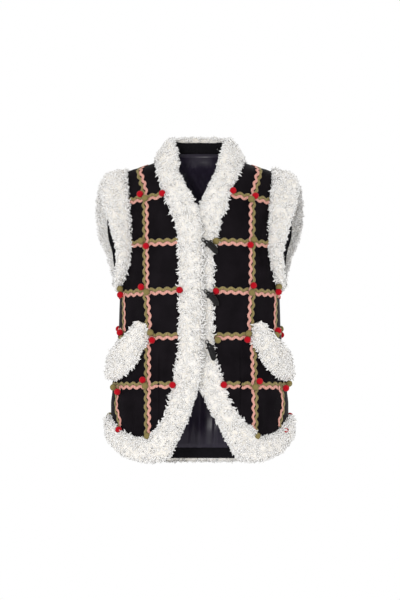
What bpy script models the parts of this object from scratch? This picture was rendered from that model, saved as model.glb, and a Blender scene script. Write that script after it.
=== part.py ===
# A padded waistcoat in its worn, hollow shape: black shell, satin lining, cream pile trim,
# rickrack laid as a grid with felt pompoms, and horn toggles. Every cut and sewn piece is its
# own closed solid. Tables are in millimetres, +Z up, the front towards -Y, and the origin lies
# level with the shoulder tips, where the wearer holds the garment up.

import bpy
import bmesh
from bisect import bisect_right
from math import acos, asin, cos, exp, pi, radians, sin
from mathutils import Vector

MM = 0.001
SEAM = 0.35                 # gap between neighbouring pieces
SQUARENESS = 2.3            # exponent of the body's level sections
SHELL_THICK = 6.0           # two layers of cloth with wadding between
LINING_OUT = -7.6           # lining's outer side, measured out from the shell's outer side
LINING_THICK = 1.2
FACING_THICK = 1.4
PILE_OUT = 7.5              # how far the trim stands proud of the shell
PILE_IN = -10.0
NECK_LEVEL = 21.0           # seam between shell and collar
NECK_POINT_TURN = 0.005     # the front strips begin this far forward of the shoulder seam
COLLAR_EDGE = 86.5
COLLAR_DROP = 10.5          # the collar is lower at its sides
HEM_LEVEL = -572.0          # seam between shell and hem band
HEM_EDGE = -627.0
HEM_BACK_DROP = 9.0         # the hem hangs lower in the middle of the back
HEM_PUFF = 5.0              # the pile stands out further along the hem
HEM_PUFF_FROM = -500.0
HEM_RISE = 45.0             # the hem is shorter at the side seams
HEM_RISE_FROM = -470.0
SHOULDER_RISE = 5.0         # the shoulders lift towards their seams
SHOULDER_RISE_FROM = -60.0
TAPE_HALF = 6.6             # half the width of the double rickrack
TAPE_WAVE = 1.7
TAPE_PERIOD = 18.0
TAPE_RISE = 2.0
TAPE_OUT = 1.1
CROSS_LIFT = 0.5            # the upright tapes lie over the level ones
POMPOM_RADIUS = 7.3
POMPOM_SINK = 0.2
TOGGLE_LENGTH = 38.0
TOGGLE_RADIUS = 5.8
CORD_RADIUS = 1.3


def table(columns, *rows):
    """Rows of numbers under named columns."""
    names = columns.split()
    return [dict(zip(names, row)) for row in rows]


# Level sections of the body, measured on the shell's outer side.
BODY = table(
    "level half_width front_depth back_depth",
    (90, 54, 42, 60),
    (75, 62, 45, 63),
    (59, 71.5, 48, 67),
    (46, 80, 50, 70.5),
    (33, 88.5, 52, 73),
    (21, 96, 54, 75),
    (10, 125, 58, 80),
    (0, 157, 63, 86),
    (-20, 163.5, 76, 95),
    (-50, 166.5, 92, 105),
    (-100, 168, 109, 114),
    (-160, 169, 118, 118),
    (-250, 173, 119, 113),
    (-300, 175, 117, 108),
    (-350, 176.5, 116, 106),
    (-400, 181.5, 119, 110),
    (-460, 189, 125, 118),
    (-520, 193, 131, 125),
    (-572, 193, 135, 129),
    (-635, 190, 136, 130),
)

# How far the armhole's edge lies before and behind the side line.
ARMHOLE = table(
    "level front_reach back_reach",
    (0, 0, 0),
    (-7, 13, 15),
    (-16, 22, 25),
    (-28, 30, 34),
    (-45, 40, 44),
    (-70, 47, 53),
    (-110, 56, 60),
    (-160, 61, 61),
    (-186, 58, 56),
    (-206, 52, 50),
    (-222, 43, 41),
    (-234, 29, 28),
    (-243, 0, 0),
)

# Front edge strips: the seam with the shell, and the free edge that belongs to each seam level.
BAND_LEFT = table(
    "seam_level seam_x edge_x edge_level",
    (21, -95, -60, 73),
    (12, -93, -50, 60),
    (0, -90, -47.5, 42),
    (-20, -86, -42, 10),
    (-40, -80, -33, -14),
    (-69, -67, -15, -46),
    (-107, -54, 1, -78),
    (-154, -44.5, 8, -132),
    (-360, -44.5, 8, -368),
    (-395, -47, 8, -420),
    (-435, -55, 2, -464),
    (-475, -62, -8, -490),
    (-503, -69, -17, -517),
    (-530, -79, -29, -546),
    (-552, -95, -43, -578),
    (-572, -110, -60, -612),
)
BAND_RIGHT = table(
    "seam_level seam_x edge_x edge_level",
    (21, 95, 58, 73),
    (12, 89, 48, 60),
    (0, 84, 44, 43),
    (-20, 75, 35, 15),
    (-45, 64, 20, -18),
    (-78, 58, 5, -46),
    (-100, 46, -10, -74),
    (-140, 37, -20, -124),
    (-185, 29.5, -20, -175),
    (-370, 29.5, -20, -378),
    (-408, 36, -19, -430),
    (-443, 50, -5, -465),
    (-478, 60, 11, -492),
    (-509, 76, 22, -515),
    (-535, 95, 39, -547),
    (-553, 113, 55, -580),
    (-572, 130, 73, -612),
)

# Free-edge points (x, level) that carry a strip round the hem corner and on to the hem.
HEM_CORNER = {"left": ((-79, -623), (-104, HEM_EDGE)), "right": ((91, -623), (118, HEM_EDGE))}

# Where the two strips overlap, one rides over the other.
OVERLAP = table("level share", (-28, 0), (-58, 1), (-478, 1), (-512, 0))
OVER_SHIFT = 7.6
UNDER_SHIFT = -6.4
OVERLAP_SLIM = 1.9          # the strips press each other thinner there

# Cross-section of a pile strip: across from seam to edge, and out from its middle layer.
PILE_SECTION = table(
    "across out_share",
    (0.07, 0.62),
    (0.24, 0.96),
    (0.52, 1.0),
    (0.80, 0.92),
    (0.95, 0.55),
    (1.00, -0.15),
    (0.93, -0.70),
    (0.60, -1.0),
    (0.20, -0.85),
)

# The free edge of the armhole trim, for each level of its seam; x is out from the middle.
TRIM_EDGE = table(
    "seam_level front_x front_y front_level back_x back_y back_level",
    (0, 203, 0, -4, 203, 0, -4),
    (-7, 209, -17, -10, 211, 18, -10),
    (-28, 214, -40, -30, 221, 43, -29),
    (-70, 212, -70, -72, 227, 66, -66),
    (-130, 194, -88, -130, 224, 74, -124),
    (-186, 183.5, -84, -184, 210, 70, -182),
    (-222, 187, -60, -223, 203, 50, -221),
    (-243, 197, -3, -249, 197, -3, -249),
)
TRIM_SECTION = (
    (0.08, 8.5),
    (0.45, 10.0),
    (0.80, 8.5),
    (0.97, 4.0),
    (0.98, -4.0),
    (0.80, -8.0),
    (0.45, -8.6),
    (0.13, -6.0),
)
TRIM_SEAM = 0.7
TRIM_START = 1.2            # the trim's section begins this far clear of the shell
TRIM_CLEAR = 1.5            # its outer side stays this far off the shell
TRIM_FACING = ((0.22, -10.2), (0.66, -10.2))

# Pocket edge: degrees forward of the side seam and level, on its upper and its lower side.
POCKET = table(
    "upper_turn upper_level lower_turn lower_level",
    (43, -322, 48, -326),
    (37, -335, 51, -345),
    (29.5, -352, 51, -367),
    (19, -369, 49, -386),
    (7, -387, 46.5, -404),
    (-3, -401, 41, -421),
    (-8, -418, 34, -436),
    (-8, -435, 25, -445),
    (0, -446, 14, -449),
)
POCKET_PUFF = 17.0
POCKET_BASE = 4.4           # its underside bridges the rounded side of the shell
POCKET_END = 0.6            # how much of the puff is left at its two ends
POCKET_SECTION = ((0.0, 0.35), (0.10, 0.75), (0.30, 1.0), (0.70, 1.0), (0.90, 0.75), (1.0, 0.35))

# The rickrack grid: level of each row at the middle of the panel, and its drop towards the side.
ROWS = table("level side_drop", (-44, 21), (-149, 6), (-253, 9), (-352, 0), (-456, 4))
POCKET_ROW = ROWS[3]
UPRIGHT = {
    "left": table("level x", (2, 129), (-39, 119), (-60, 117), (-253, 115), (-330, 110),
                  (-381, 112), (-562, 112)),
    "right": table("level x", (2, 127), (-39, 118), (-60, 113), (-253, 112), (-330, 109),
                   (-381, 115), (-552, 120)),
    "back": table("level x", (-10, 126), (-39, 119), (-60, 116), (-253, 114), (-330, 111), (-567, 114)),
}
UPRIGHT_MIDDLE = table("level x", (17, 0), (-567, 0))
SIDE_UPRIGHT = table("level x", (-259, 164), (-350, 163))
SIDE_UPRIGHT_FRONT = table("level x", (-259, 164), (-338, 164))
POCKET_ROW_END = 113.0      # the fourth row stops here at the pocket
SIDE_ROW_LEVEL = -343.0      # the short end of the fourth row, beside the pocket
SIDE_ROW_TURNS = (2, 25)    # its ends, in degrees forward of the side seam
ROW_MARGIN = 9.0            # rows end this far short of the armhole
ROW_STEPS = 12
SIDE_UPRIGHT_LOW = table("level x", (-459, 172), (-510, 177), (-558, 172))

# Felt pompoms: a pair at each crossing, and one at each end of a row or tape.
PAIR_OUT = 5.5              # the upper of a pair lies further out, the lower further in
PAIR_UP = 5.5
POCKET_PAIR_IN = 6.0        # beside the pocket both lie in from the tape's middle
SIDE_POMPOM_UP = 3.5        # the pompom on the short end of the fourth row
END_FROM_SEAM = 10.0        # the pompom at a row's front end, from the pile strip's seam
THIRD_END_DROP = 7.0        # the pompoms where the side tapes meet the third and the fifth row
FIFTH_END_DROP = 8.0
HEM_POMPOM_RISE = 8.0       # the pompoms at the hem, above the foot of their tape

# Folds of the loose back lining; lean is how far one moves across on each millimetre down.
LINING_FOLDS = table(
    "x half_width height top foot lean",
    (-14, 9, 3.0, -330, -595, 0),
    (9, 8, 4.5, -380, -595, 0),
    (30, 9, 3.5, -300, -595, 0),
    (52, 10, 4.0, -400, -595, 0),
    (-20, 13, 3.5, 25, -150, 0.22),
    (12, 13, 4.5, 5, -190, 0.22),
    (38, 12, 3.0, -20, -230, 0.22),
)

# Toggles: their middles, with the slope of each in degrees below level, and the dip in degrees
# of its tip, which lies on the lower of the two strips while its head lies over the upper one.
TOGGLES = table(
    "x level slope out dip",
    (21, -162, 40, 9.9, 12),
    (25, -272, 49, 10.8, 12),
    (24, -386, 72, 11.3, 12),
)
TOGGLE_SHAPE = (
    (0.0, 0.30), (0.10, 0.72), (0.28, 0.95), (0.50, 1.0), (0.72, 0.86), (0.90, 0.58), (1.0, 0.25),
)
TOGGLE_BOW = 2.5
TOGGLE_WIDE, TOGGLE_FLAT, TOGGLE_SIDES = 1.1, 0.8, 8
LOOP_PLACE = 0.18           # share of the toggle's length above its middle
LOOP_CLEAR = 0.9
LOOP_WIDE, LOOP_FLAT, LOOP_STEPS = 1.1, 0.86, 12
CORD_SIDES = 6

# Levels of the shell's rows, from the neck point down to the hem seam.
LEVELS = (
    20, 15, 10, 0, -7, -16, -28, -45, -70, -100, -135, -170, -198, -220, -234, -243,
    -270, -305, -345, -385, -425, -465, -505, -540, -572,
)
FRONT_COLUMNS = 8
BACK_COLUMNS = 15

COLOURS = {
    "shell": ((0.008, 0.007, 0.009), 0.85),
    "lining": ((0.022, 0.017, 0.030), 0.35),
    "facing": ((0.007, 0.006, 0.008), 0.8),
    "pile": ((0.86, 0.84, 0.80), 0.95),
    "rickrack": ((0.33, 0.26, 0.10), 0.8),
    "toggle": ((0.010, 0.010, 0.012), 0.2),
    "cord": ((0.010, 0.010, 0.010), 0.7),
}


def profile(rows, column):
    """A smooth curve, without overshoot, through a column of a table against its first column."""
    key = next(iter(rows[0]))
    pairs = sorted((row[key], row[column]) for row in rows)
    keys = [pair[0] for pair in pairs]
    values = [pair[1] for pair in pairs]
    steps = [(values[i + 1] - values[i]) / (keys[i + 1] - keys[i]) for i in range(len(keys) - 1)]
    slopes = [steps[0]]
    for before, after in zip(steps, steps[1:]):
        slopes.append(0.0 if before * after <= 0 else 2 * before * after / (before + after))
    slopes.append(steps[-1])

    def read(at):
        at = min(max(at, keys[0]), keys[-1])
        i = min(bisect_right(keys, at) - 1, len(keys) - 2)
        span = keys[i + 1] - keys[i]
        t = (at - keys[i]) / span
        start = (1 + 2 * t) * (1 - t) ** 2 * values[i] + t * (1 - t) ** 2 * span * slopes[i]
        end = t * t * (3 - 2 * t) * values[i + 1] + t * t * (t - 1) * span * slopes[i + 1]
        return start + end

    return read


half_width = profile(BODY, "half_width")
front_depth = profile(BODY, "front_depth")
back_depth = profile(BODY, "back_depth")
overlap_share = profile(OVERLAP, "share")


def smooth_step(at, start, end):
    t = min(max((at - start) / (end - start), 0.0), 1.0)
    return t * t * (3 - 2 * t)


def power(value, exponent):
    return abs(value) ** exponent * (1 if value >= 0 else -1)


def depth(turn, level):
    return front_depth(level) if sin(turn) >= 0 else back_depth(level)


def on_body(turn, level, out=0.0):
    """A point of the body, out from the shell's outer side. turn is 0 at +X, pi/2 at the front."""
    wide, deep = half_width(level), depth(turn, level)
    x = wide * power(cos(turn), 2 / SQUARENESS)
    y = -deep * power(sin(turn), 2 / SQUARENESS)
    rise = HEM_RISE * abs(cos(turn)) ** 6 * smooth_step(-level, -HEM_RISE_FROM, -HEM_LEVEL)
    rise += SHOULDER_RISE * cos(turn) ** 4 * smooth_step(level, SHOULDER_RISE_FROM, 0)
    side, fore = abs(x / wide), abs(y / deep)
    wide_slope = half_width(level + 1) - half_width(level - 1)
    deep_slope = depth(turn, level + 1) - depth(turn, level - 1)
    normal = Vector((
        power(x / wide, SQUARENESS - 1) / wide,
        power(y / deep, SQUARENESS - 1) / deep,
        -(side ** SQUARENESS * wide_slope / wide + fore ** SQUARENESS * deep_slope / deep) / 2,
    )).normalized()
    return Vector((x, y, level + rise)) + normal * out


def outward(turn, level):
    return on_body(turn, level, 1.0) - on_body(turn, level)


def turn_at_x(x, level, behind=False):
    share = min(abs(x) / half_width(level), 1.0) ** (SQUARENESS / 2)
    turn = acos(share if x >= 0 else -share)
    return 2 * pi - turn if behind else turn


def turn_at_reach(reach, level, deep):
    return asin(min(max(reach, SEAM / 2) / deep(level), 1.0) ** (SQUARENESS / 2))


def link(name, faces_mesh, finish):
    """Turns a bmesh in millimetres into an object in metres with its own material."""
    bmesh.ops.recalc_face_normals(faces_mesh, faces=faces_mesh.faces)
    bmesh.ops.scale(faces_mesh, vec=(MM, MM, MM), verts=faces_mesh.verts)
    mesh = bpy.data.meshes.new(name)
    faces_mesh.to_mesh(mesh)
    faces_mesh.free()
    made = bpy.data.objects.new(name, mesh)
    bpy.context.scene.collection.objects.link(made)
    colour, roughness = COLOURS[finish]
    material = bpy.data.materials.new(name)
    material.use_nodes = True
    shader = material.node_tree.nodes["Principled BSDF"]
    shader.inputs["Base Color"].default_value = (*colour, 1)
    shader.inputs["Roughness"].default_value = roughness
    mesh.materials.append(material)
    mesh.shade_smooth()
    return made


def add_wall(shape, outer, inner):
    """A closed wall between two grids of points with the same rows and columns."""
    rows, columns = len(outer), len(outer[0])
    out = [[shape.verts.new(point) for point in row] for row in outer]
    back = [[shape.verts.new(point) for point in row] for row in inner]
    for i in range(rows - 1):
        for j in range(columns - 1):
            shape.faces.new((out[i][j], out[i][j + 1], out[i + 1][j + 1], out[i + 1][j]))
            shape.faces.new((back[i][j], back[i + 1][j], back[i + 1][j + 1], back[i][j + 1]))
    rim = [(0, j) for j in range(columns)] + [(i, columns - 1) for i in range(1, rows)]
    rim += [(rows - 1, j) for j in range(columns - 2, -1, -1)] + [(i, 0) for i in range(rows - 2, 0, -1)]
    for (i, j), (k, m) in zip(rim, rim[1:] + rim[:1]):
        shape.faces.new((out[i][j], back[i][j], back[k][m], out[k][m]))


def add_loft(shape, rings, closed=False):
    """A closed body through rings of points, capped at both ends unless it runs round."""
    loops = [[shape.verts.new(point) for point in ring] for ring in rings]
    pairs = list(zip(loops, loops[1:] + loops[:1])) if closed else list(zip(loops, loops[1:]))
    for one, two in pairs:
        for j in range(len(one)):
            k = (j + 1) % len(one)
            shape.faces.new((one[j], one[k], two[k], two[j]))
    if not closed:
        shape.faces.new(loops[0][::-1])
        shape.faces.new(loops[-1])


def wall(name, outer, inner, finish):
    shape = bmesh.new()
    add_wall(shape, outer, inner)
    return link(name, shape, finish)


def loft(name, rings, finish, closed=False):
    shape = bmesh.new()
    add_loft(shape, rings, closed)
    return link(name, shape, finish)


# Panel outlines, as turns of the body at each level.

seam_left = profile(BAND_LEFT, "seam_x")
seam_right = profile(BAND_RIGHT, "seam_x")
reach_front = profile(ARMHOLE, "front_reach")
reach_back = profile(ARMHOLE, "back_reach")
ARMHOLE_FOOT = ARMHOLE[-1]["level"]
FRONT_SEAM = {"left": seam_left, "right": seam_right}
SIGNS = {"left": (-1,), "right": (1,), "back": (-1, 1)}


def side_reach(level, reach, margin):
    """The panel's outer limit: the side or shoulder seam, or the armhole between them."""
    in_armhole = ARMHOLE_FOOT < level < 0
    return max(reach(level) if in_armhole else 0.0, SEAM / 2) + margin


def panel_limits(side, level, margin=0.0):
    """First and last turn of a panel at a level, margin in from its outline."""
    if side == "back":
        reach = side_reach(level, reach_back, margin)
        first = turn_at_reach(reach, level, back_depth)
        return pi + first, 2 * pi - first
    reach = side_reach(level, reach_front, margin)
    edge = turn_at_reach(reach, level, front_depth)
    if side == "left":
        return turn_at_x(seam_left(level) - SEAM - margin, level), pi - edge
    return edge, turn_at_x(seam_right(level) + SEAM + margin, level)


def panel_turns(side, level, columns, margin=0.0):
    first, last = panel_limits(side, level, margin)
    return [first + (last - first) * j / (columns - 1) for j in range(columns)]


def panel_grid(side, levels, columns, out, margin=0.0):
    """Points of a panel; out is a function of turn and level."""
    grid = []
    for level in levels:
        turns = panel_turns(side, level, columns, margin)
        grid.append([on_body(turn, level, out(turn, level)) for turn in turns])
    return grid


def shell_out(turn, level):
    return 0.0


def shell_in(turn, level):
    return -SHELL_THICK


def shell_levels(side):
    """The front panels end just under the neck point, where they narrow to a corner."""
    top = NECK_LEVEL - SEAM if side == "back" else LEVELS[0]
    return [top, *LEVELS[1:-1], HEM_LEVEL + SEAM]


def make_shell():
    for name, side, columns in (
        ("front_left", "left", FRONT_COLUMNS),
        ("front_right", "right", FRONT_COLUMNS),
        ("back", "back", BACK_COLUMNS),
    ):
        levels = shell_levels(side)
        wall(name, panel_grid(side, levels, columns, shell_out),
             panel_grid(side, levels, columns, shell_in), "shell")


# Lining and facings, inside the shell.

FACING_NECK_LEVELS = (47.0, 60.0, 72.5)
FACING_HEM_LEVELS = (-599.0, -611.0, -624.0)
LINING_TOP = FACING_NECK_LEVELS[0] - 1.5
LINING_FOOT = FACING_HEM_LEVELS[0] + 1.5
LINING_BEHIND_PILE = -12.6
LINING_MARGIN = 2.5         # the lining stays this far within its panel's outline
LINING_COLUMNS = 5
FOLD_X = (-60, -36, -25, -14, -3, 9, 20, 30, 41, 52, 66)
SIDE_SHARE = 0.25           # the wider columns beside the folds
LAST_SHARE = 0.12
LINING_LEVELS = (12, 0, -16, -45, -100, -170, -220, -243, -305, -345, -385, -425, -505, -560)


def behind_band(level):
    """Share of the way from the shell's inner side to the thicker band's, at collar and hem."""
    return max(smooth_step(level, 4, 18), smooth_step(-level, -HEM_LEVEL - 26, -HEM_LEVEL - 6))


def lining_out(turn, level):
    out = LINING_OUT + (LINING_BEHIND_PILE - LINING_OUT) * behind_band(level)
    x = on_body(turn, level).x
    if sin(turn) < 0:
        for fold in LINING_FOLDS:
            below = fold["top"] - level
            along = smooth_step(below, 0, 60) * smooth_step(level - fold["foot"], -40, 40)
            across = (x - fold["x"] - fold["lean"] * below) / fold["half_width"]
            out -= fold["height"] * along * exp(-across ** 2)
    return out


def lining_in(turn, level):
    return lining_out(turn, level) - LINING_THICK


def fold_turns(level, margin):
    """Columns for the back lining, closer together where its folds are."""
    first, last = panel_limits("back", level, margin)
    middle = 3 * pi / 2
    turns = [first, first + (middle - first) * SIDE_SHARE]
    turns += [turn_at_x(x, level, behind=True) for x in FOLD_X]
    turns += [last - (last - middle) * share for share in (LAST_SHARE, SIDE_SHARE + LAST_SHARE)]
    return sorted([*turns, last])


def make_lining():
    for side in ("left", "right"):
        outer = panel_grid(side, LINING_LEVELS, LINING_COLUMNS, lining_out, LINING_MARGIN)
        inner = panel_grid(side, LINING_LEVELS, LINING_COLUMNS, lining_in, LINING_MARGIN)
        wall("lining_front_" + side, outer, inner, "lining")
    outer, inner = [], []
    for level in (LINING_TOP, 20, *LINING_LEVELS, LINING_FOOT):
        turns = fold_turns(level, LINING_MARGIN)
        outer.append([on_body(turn, level, lining_out(turn, level)) for turn in turns])
        inner.append([on_body(turn, level, lining_in(turn, level)) for turn in turns])
    wall("lining_back", outer, inner, "lining")


def make_facings():
    """Black strips between the pile and the lining, with the columns of the strips they lie on."""
    for name, levels, seam_level in (
        ("facing_neck", FACING_NECK_LEVELS, NECK_LEVEL),
        ("facing_hem", FACING_HEM_LEVELS, HEM_LEVEL),
    ):
        turns = panel_turns("back", seam_level, BACK_COLUMNS)[1:-1]
        outer = [[on_body(turn, level, PILE_IN - SEAM) for turn in turns] for level in levels]
        inner = [[on_body(turn, level, PILE_IN - SEAM - FACING_THICK) for turn in turns]
                 for level in levels]
        wall(name, outer, inner, "facing")


# Pile strips along the front edges, hem and collar.

def strip_ring(seam, edge, shift=0.0, thin=0.0):
    """One cross-section of a pile strip. seam and edge are (turn, level)."""
    middle = (PILE_OUT + PILE_IN) / 2
    half = (PILE_OUT - PILE_IN) / 2 - thin
    ring = [on_body(*seam)]
    for place in PILE_SECTION:
        across = place["across"]
        turn = seam[0] + (edge[0] - seam[0]) * across
        level = seam[1] + (edge[1] - seam[1]) * across
        rise = shift * smooth_step(across, 0.12, 0.55)
        puff = HEM_PUFF * smooth_step(-seam[1], -HEM_PUFF_FROM, -HEM_LEVEL) * max(place["out_share"], 0)
        ring.append(on_body(turn, level, middle + rise + half * place["out_share"] + puff))
    ring.append(on_body(*seam, -SHELL_THICK))
    return ring


def front_strip(side):
    """Neck side, front edge, corner and front hem in one strip, which follows its own panel's points."""
    rows = BAND_LEFT if side == "left" else BAND_RIGHT
    seam_x, edge_x, edge_level = (profile(rows, column) for column in ("seam_x", "edge_x", "edge_level"))
    shift = OVER_SHIFT if side == "left" else UNDER_SHIFT
    rings = []
    for level in [NECK_LEVEL] + shell_levels(side)[:-1] + [HEM_LEVEL]:
        seam = (turn_at_x(seam_x(level), level), level)
        if level == NECK_LEVEL:
            seam = (pi - NECK_POINT_TURN if side == "left" else NECK_POINT_TURN, level)
        edge = (turn_at_x(edge_x(level), edge_level(level)), edge_level(level))
        if level == NECK_LEVEL:
            edge = (seam[0], COLLAR_EDGE - COLLAR_DROP)
        share = overlap_share(edge_level(level))
        rings.append(strip_ring(seam, edge, shift * share, OVERLAP_SLIM * share))
    corner = (turn_at_x(seam_x(HEM_LEVEL), HEM_LEVEL), HEM_LEVEL)
    for x, level in HEM_CORNER[side]:
        rings.append(strip_ring(corner, (turn_at_x(x, level), level)))
    turns = panel_turns(side, HEM_LEVEL, FRONT_COLUMNS)
    if side == "right":
        turns = turns[::-1]
    for turn in turns[1:]:
        rings.append(strip_ring((turn, HEM_LEVEL), (turn, HEM_EDGE)))
    loft("band_front_" + side, rings, "pile")


def back_strips():
    collar, hem = [], []
    for turn in panel_turns("back", NECK_LEVEL, BACK_COLUMNS):
        drop = COLLAR_DROP * abs(cos(turn)) ** 3
        collar.append(strip_ring((turn, NECK_LEVEL), (turn, COLLAR_EDGE - drop)))
    for turn in panel_turns("back", HEM_LEVEL, BACK_COLUMNS):
        drop = HEM_BACK_DROP * (1 - cos(turn) ** 4)
        hem.append(strip_ring((turn, HEM_LEVEL), (turn, HEM_EDGE - drop)))
    loft("collar_back", collar, "pile")
    loft("band_hem_back", hem, "pile")


# Wide pile trims round the armholes.

def armhole_stations():
    """Round the armhole from its top, down the front and up the back: (level, front or back)."""
    inner = [level for level in LEVELS if ARMHOLE_FOOT < level < 0]
    return [(0, "front")] + [(v, "front") for v in inner] + [(ARMHOLE_FOOT, "front")] + [
        (v, "back") for v in reversed(inner)]


def make_armhole_trim(side):
    sign = -1 if side == "left" else 1
    edges = {part: [profile(TRIM_EDGE, f"{part}_{column}") for column in ("x", "y", "level")]
             for part in ("front", "back")}
    seams, frees, normals = [], [], []
    for level, part in armhole_stations():
        if part == "front":
            turn = turn_at_reach(reach_front(level), level, front_depth)
            turn = pi - turn if sign < 0 else turn
        else:
            turn = turn_at_reach(reach_back(level), level, back_depth)
            turn = pi + turn if sign < 0 else 2 * pi - turn
        seams.append(on_body(turn, level))
        normals.append(outward(turn, level))
        x, y, z = (read(level) for read in edges[part])
        frees.append(Vector((sign * x, y, z)))
    centre = Vector((sign * half_width(ARMHOLE_FOOT / 2), 0, ARMHOLE_FOOT / 2))
    count = len(seams)
    rings, facings = [], []
    for i in range(count):
        tangent = (seams[(i + 1) % count] - seams[i - 1]).normalized()
        into = centre - seams[i]
        into -= normals[i] * into.dot(normals[i])
        into -= tangent * into.dot(tangent)
        into.normalize()
        root = seams[i] - normals[i] * (SHELL_THICK / 2)
        axis = frees[i] - root
        length = axis.length
        axis.normalize()
        start = TRIM_START + SHELL_THICK / 2 * abs(axis.dot(normals[i]))
        length -= start
        root += axis * start
        rise = axis.cross(tangent).normalized()
        if rise.dot(seams[i] - centre) < 0:
            rise = -rise
        ring = [seams[i] + into * TRIM_SEAM]
        for across, out in TRIM_SECTION:
            point = root + axis * (length * across) + rise * out
            short = TRIM_CLEAR - (point - seams[i]).dot(normals[i])
            if out > 0 and short > 0:
                point += normals[i] * short
            ring.append(point)
        ring.append(seams[i] - normals[i] * SHELL_THICK + into * TRIM_SEAM)
        rings.append(ring)
        (near, out), (far, _) = TRIM_FACING
        facings.append([
            root + axis * (length * near) + rise * out,
            root + axis * (length * far) + rise * out,
            root + axis * (length * far) + rise * (out - FACING_THICK),
            root + axis * (length * near) + rise * (out - FACING_THICK),
        ])
    loft("armhole_trim_" + side, rings, "pile", closed=True)
    loft("facing_armhole_" + side, facings[::2], "facing", closed=True)


def make_pocket(side):
    """A thick rounded pile strip along the pocket's mouth, pressed flat against the front."""
    rings = []
    for row in POCKET:
        puff = POCKET_PUFF * (POCKET_END if row in (POCKET[0], POCKET[-1]) else 1.0)
        top, base = [], []
        for across, share in POCKET_SECTION:
            turn = radians(row["upper_turn"] + (row["lower_turn"] - row["upper_turn"]) * across)
            turn = pi - turn if side == "left" else turn
            level = row["upper_level"] + (row["lower_level"] - row["upper_level"]) * across
            top.append(on_body(turn, level, puff * share))
            base.append(on_body(turn, level, POCKET_BASE))
        rings.append(top + base[::-1])
    loft("pocket_welt_" + side, rings, "pile")


# Rickrack and pompoms.

def waves_along(path):
    """Points (turn, level) half a wave apart along a path."""
    points = [on_body(turn, level) for turn, level in path]
    lengths = [(b - a).length for a, b in zip(points, points[1:])]
    count = max(2, round(sum(lengths) / (TAPE_PERIOD / 2)))
    step = sum(lengths) / count
    placed = []
    run = 0.0
    for (one, two), length in zip(zip(path, path[1:]), lengths):
        while len(placed) <= count and len(placed) * step <= run + length + 1e-6:
            t = min(max((len(placed) * step - run) / length, 0.0), 1.0)
            placed.append((one[0] + (two[0] - one[0]) * t, one[1] + (two[1] - one[1]) * t))
        run += length
    return placed


def tape(shape, path, lift, wavy):
    """A strip along points (turn, level), with a low ridge in its middle. The back's is plain."""
    places = waves_along(path) if wavy else path
    rings = []
    for i, (turn, level) in enumerate(places):
        here = on_body(turn, level, TAPE_OUT + lift)
        ahead = on_body(*places[min(i + 1, len(places) - 1)])
        behind = on_body(*places[max(i - 1, 0)])
        normal = outward(turn, level)
        aside = normal.cross((ahead - behind).normalized()).normalized()
        wave = TAPE_WAVE * (i % 2 * 2 - 1) if wavy else 0.0
        rings.append([
            here + aside * (TAPE_HALF + wave),
            here + aside * wave + normal * TAPE_RISE,
            here - aside * (TAPE_HALF - wave),
        ])
    add_loft(shape, rings)


def row_level_at(x, level, drop):
    """Level of a row at x; it sinks towards the side."""
    return level - drop * (x / half_width(level)) ** 2


def row_point(turn, level, drop):
    return turn, row_level_at(on_body(turn, level).x, level, drop)


def row_path(side, row_level, drop):
    """A row across a panel, from the front edge or side seam to the armhole or side seam."""
    first, last = panel_limits(side, row_level, ROW_MARGIN)
    if side == "left":
        last = panel_limits(side, row_level - drop, ROW_MARGIN)[1]
    elif side == "right":
        first = panel_limits(side, row_level - drop, ROW_MARGIN)[0]
    if side == "back":
        turns = [first, *panel_turns(side, row_level, BACK_COLUMNS)[1:-1], last]
    else:
        turns = [first + (last - first) * j / ROW_STEPS for j in range(ROW_STEPS + 1)]
    return [row_point(turn, row_level, drop) for turn in turns]


def upright_path(side, rows, sign=1):
    """A tape down a panel, with a point at each of the shell's rows."""
    x_at = profile(rows, "x")
    top, foot = rows[0]["level"], rows[-1]["level"]
    levels = [top] + [level for level in LEVELS if foot + 3 < level < top - 3] + [foot]
    return [(turn_at_x(sign * x_at(level), level, side == "back"), level) for level in levels]


def pompom(shape, turn, level):
    """A small felt ball that sits on the tape, with one corner down along the panel's normal."""
    centre = on_body(turn, level, TAPE_OUT - POMPOM_SINK + POMPOM_RADIUS)
    stand = outward(turn, level).to_track_quat("Z", "Y").to_matrix().to_4x4()
    stand.translation = centre
    bmesh.ops.create_icosphere(shape, subdivisions=1, radius=POMPOM_RADIUS, matrix=stand)


def fused(name, shapes, finish):
    """Unites several closed bodies into one object."""
    first = None
    others = bpy.data.collections.new(name + "_parts")
    for shape in shapes:
        made = link(name, shape, finish)
        if first is None:
            first = made
        else:
            bpy.context.scene.collection.objects.unlink(made)
            others.objects.link(made)
    union = first.modifiers.new("union", "BOOLEAN")
    union.operation = "UNION"
    union.operand_type = "COLLECTION"
    union.collection = others
    union.solver = "EXACT"
    union.use_self = True
    bpy.context.scene.collection.children.link(others)
    bpy.context.view_layer.update()
    graph = bpy.context.evaluated_depsgraph_get()
    whole = bpy.data.meshes.new_from_object(first.evaluated_get(graph))
    first.modifiers.clear()
    first.data = whole
    for made in list(others.objects):
        bpy.data.objects.remove(made)
    bpy.data.collections.remove(others)
    first.name = name
    return first


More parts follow.
